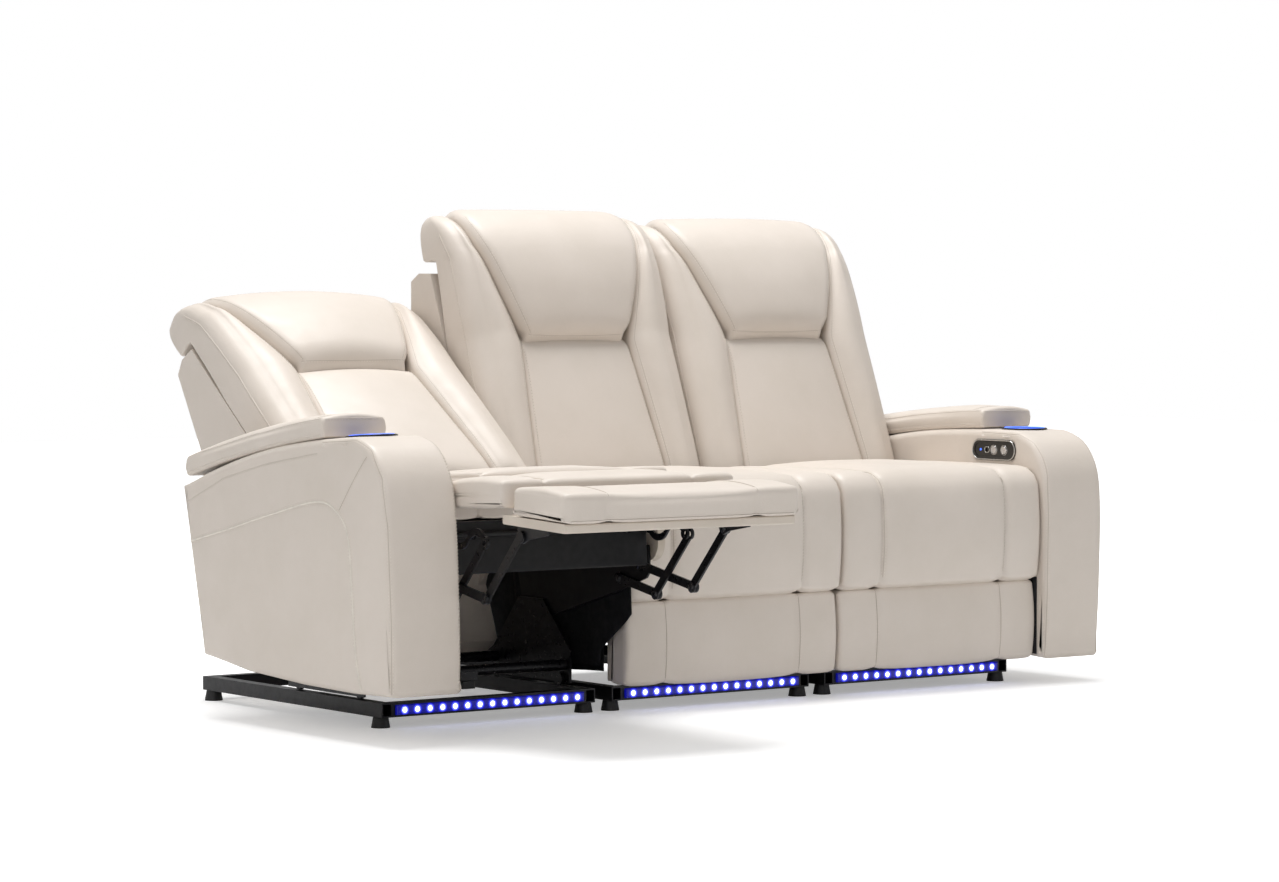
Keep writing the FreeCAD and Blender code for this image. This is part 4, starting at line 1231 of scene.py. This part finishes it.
def loop_tube(name, route, thick, turn):
    """A thin round tube along a closed route in X, Y and Z."""
    bm = bmesh.new()
    points = [Vector(q) for q in route]
    rows = []
    for k, place in enumerate(points):
        ahead = (points[(k + 1) % len(points)] - points[k - 1]).normalized()
        side = ahead.cross(Vector((1, 0, 0))).normalized()
        rows.append([bm.verts.new(place + thick * (side * math.cos(a) + Vector((math.sin(a), 0, 0))))
                     for a in np.linspace(0, 2 * math.pi, 8, endpoint=False)])
    join_rings(bm, rows, closed=True)
    bmesh.ops.transform(bm, matrix=turn, verts=bm.verts)
    bmesh.ops.recalc_face_normals(bm, faces=bm.faces)
    return finished(name, bm)


PROUD = ARM_IN - 3.0
for section, mirror in ARM_SIDES:
    place = to_world(section, "seat") @ mirrored(mirror)
    for name, sunk, behind, half, radius, thick in (
            ("_panel_bezel", 0.0, 0.0, 73.2, 22.2, 1.5), ("_socket_frame", 1.6, 24.0, 8.5, 6.5, 0.9),
            ("_front_ring", 1.6, -35.0, 11.0, 10.99, 0.9), ("_rear_ring", 1.6, 0.0, 11.0, 10.99, 0.9)):
        route = stadium(PROUD + sunk, PANEL_Y + behind, PANEL_Z, half, radius)
        trim = loop_tube(section + name, route, thick, place)
        paint(trim, CHROME)
        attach(trim, section + "_seat")
    lit = dots(section + "_panel_light", [(PROUD + 1.4, PANEL_Y + 46.0, PANEL_Z)], 2.6, (0.5, 1.0, 1.0))
    lit.data.transform(place)
    paint(lit, RING)
    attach(lit, section + "_seat")

# %% [markdown]
# ## Studio
# A pale floor with a soft shadow, a white surround for the camera, and broad soft lamps.

# %% Floor, light and backdrop
floor = block("floor", (-14, -14, -0.02), (14, 14, 0.0))
n = Nodes("floor_pale")
ground = n.finish((0.86, 0.86, 0.86), 0.6, specular=0.15)
seen = n.add("ShaderNodeLightPath").outputs["Is Camera Ray"]
lift = n.range(n.vector("LENGTH", n.place), 1.0, 2.6, 0.34, 1.0)
bright = n.add("ShaderNodeEmission", Strength=n.math("MULTIPLY", lift, seen))
both = n.add("ShaderNodeAddShader", i0=n.shader.outputs["BSDF"], i1=bright.outputs["Emission"])
n.put(n.tree.nodes["Material Output"], "Surface", both.outputs["Shader"])
paint(floor, ground)

world = bpy.data.worlds.new("surround")
bpy.context.scene.world = world
world.use_nodes = True
tree = world.node_tree
back = tree.nodes["Background"]
path = tree.nodes.new("ShaderNodeLightPath")
seen = tree.nodes.new("ShaderNodeMath")
seen.operation = "MAXIMUM"
tree.links.new(path.outputs["Is Camera Ray"], seen.inputs[0])
tree.links.new(path.outputs["Is Transmission Ray"], seen.inputs[1])
level = tree.nodes.new("ShaderNodeMapRange")
level.inputs["To Min"].default_value = 0.475
level.inputs["To Max"].default_value = 1.0
tree.links.new(seen.outputs[0], level.inputs["Value"])
tree.links.new(level.outputs["Result"], back.inputs["Strength"])
back.inputs["Color"].default_value = (1.0, 1.0, 1.0, 1.0)


def lamp(name, place, aim, size, power):
    data = bpy.data.lights.new(name, "AREA")
    data.shape = "RECTANGLE"
    data.size, data.size_y = size
    data.energy = power
    obj = add_object(name, data)
    obj.location = place
    obj.rotation_euler = (Vector(aim) - Vector(place)).to_track_quat("-Z", "Y").to_euler()


lamp("key", (-0.1, 0.8, 7.0), (0, 0.0, 0.4), (4.4, 3.0), 450)
lamp("side", (-3.6, -2.4, 1.6), (0, 0, 0.4), (2.0, 2.0), 13)

bpy.context.scene.view_settings.view_transform = "Standard"
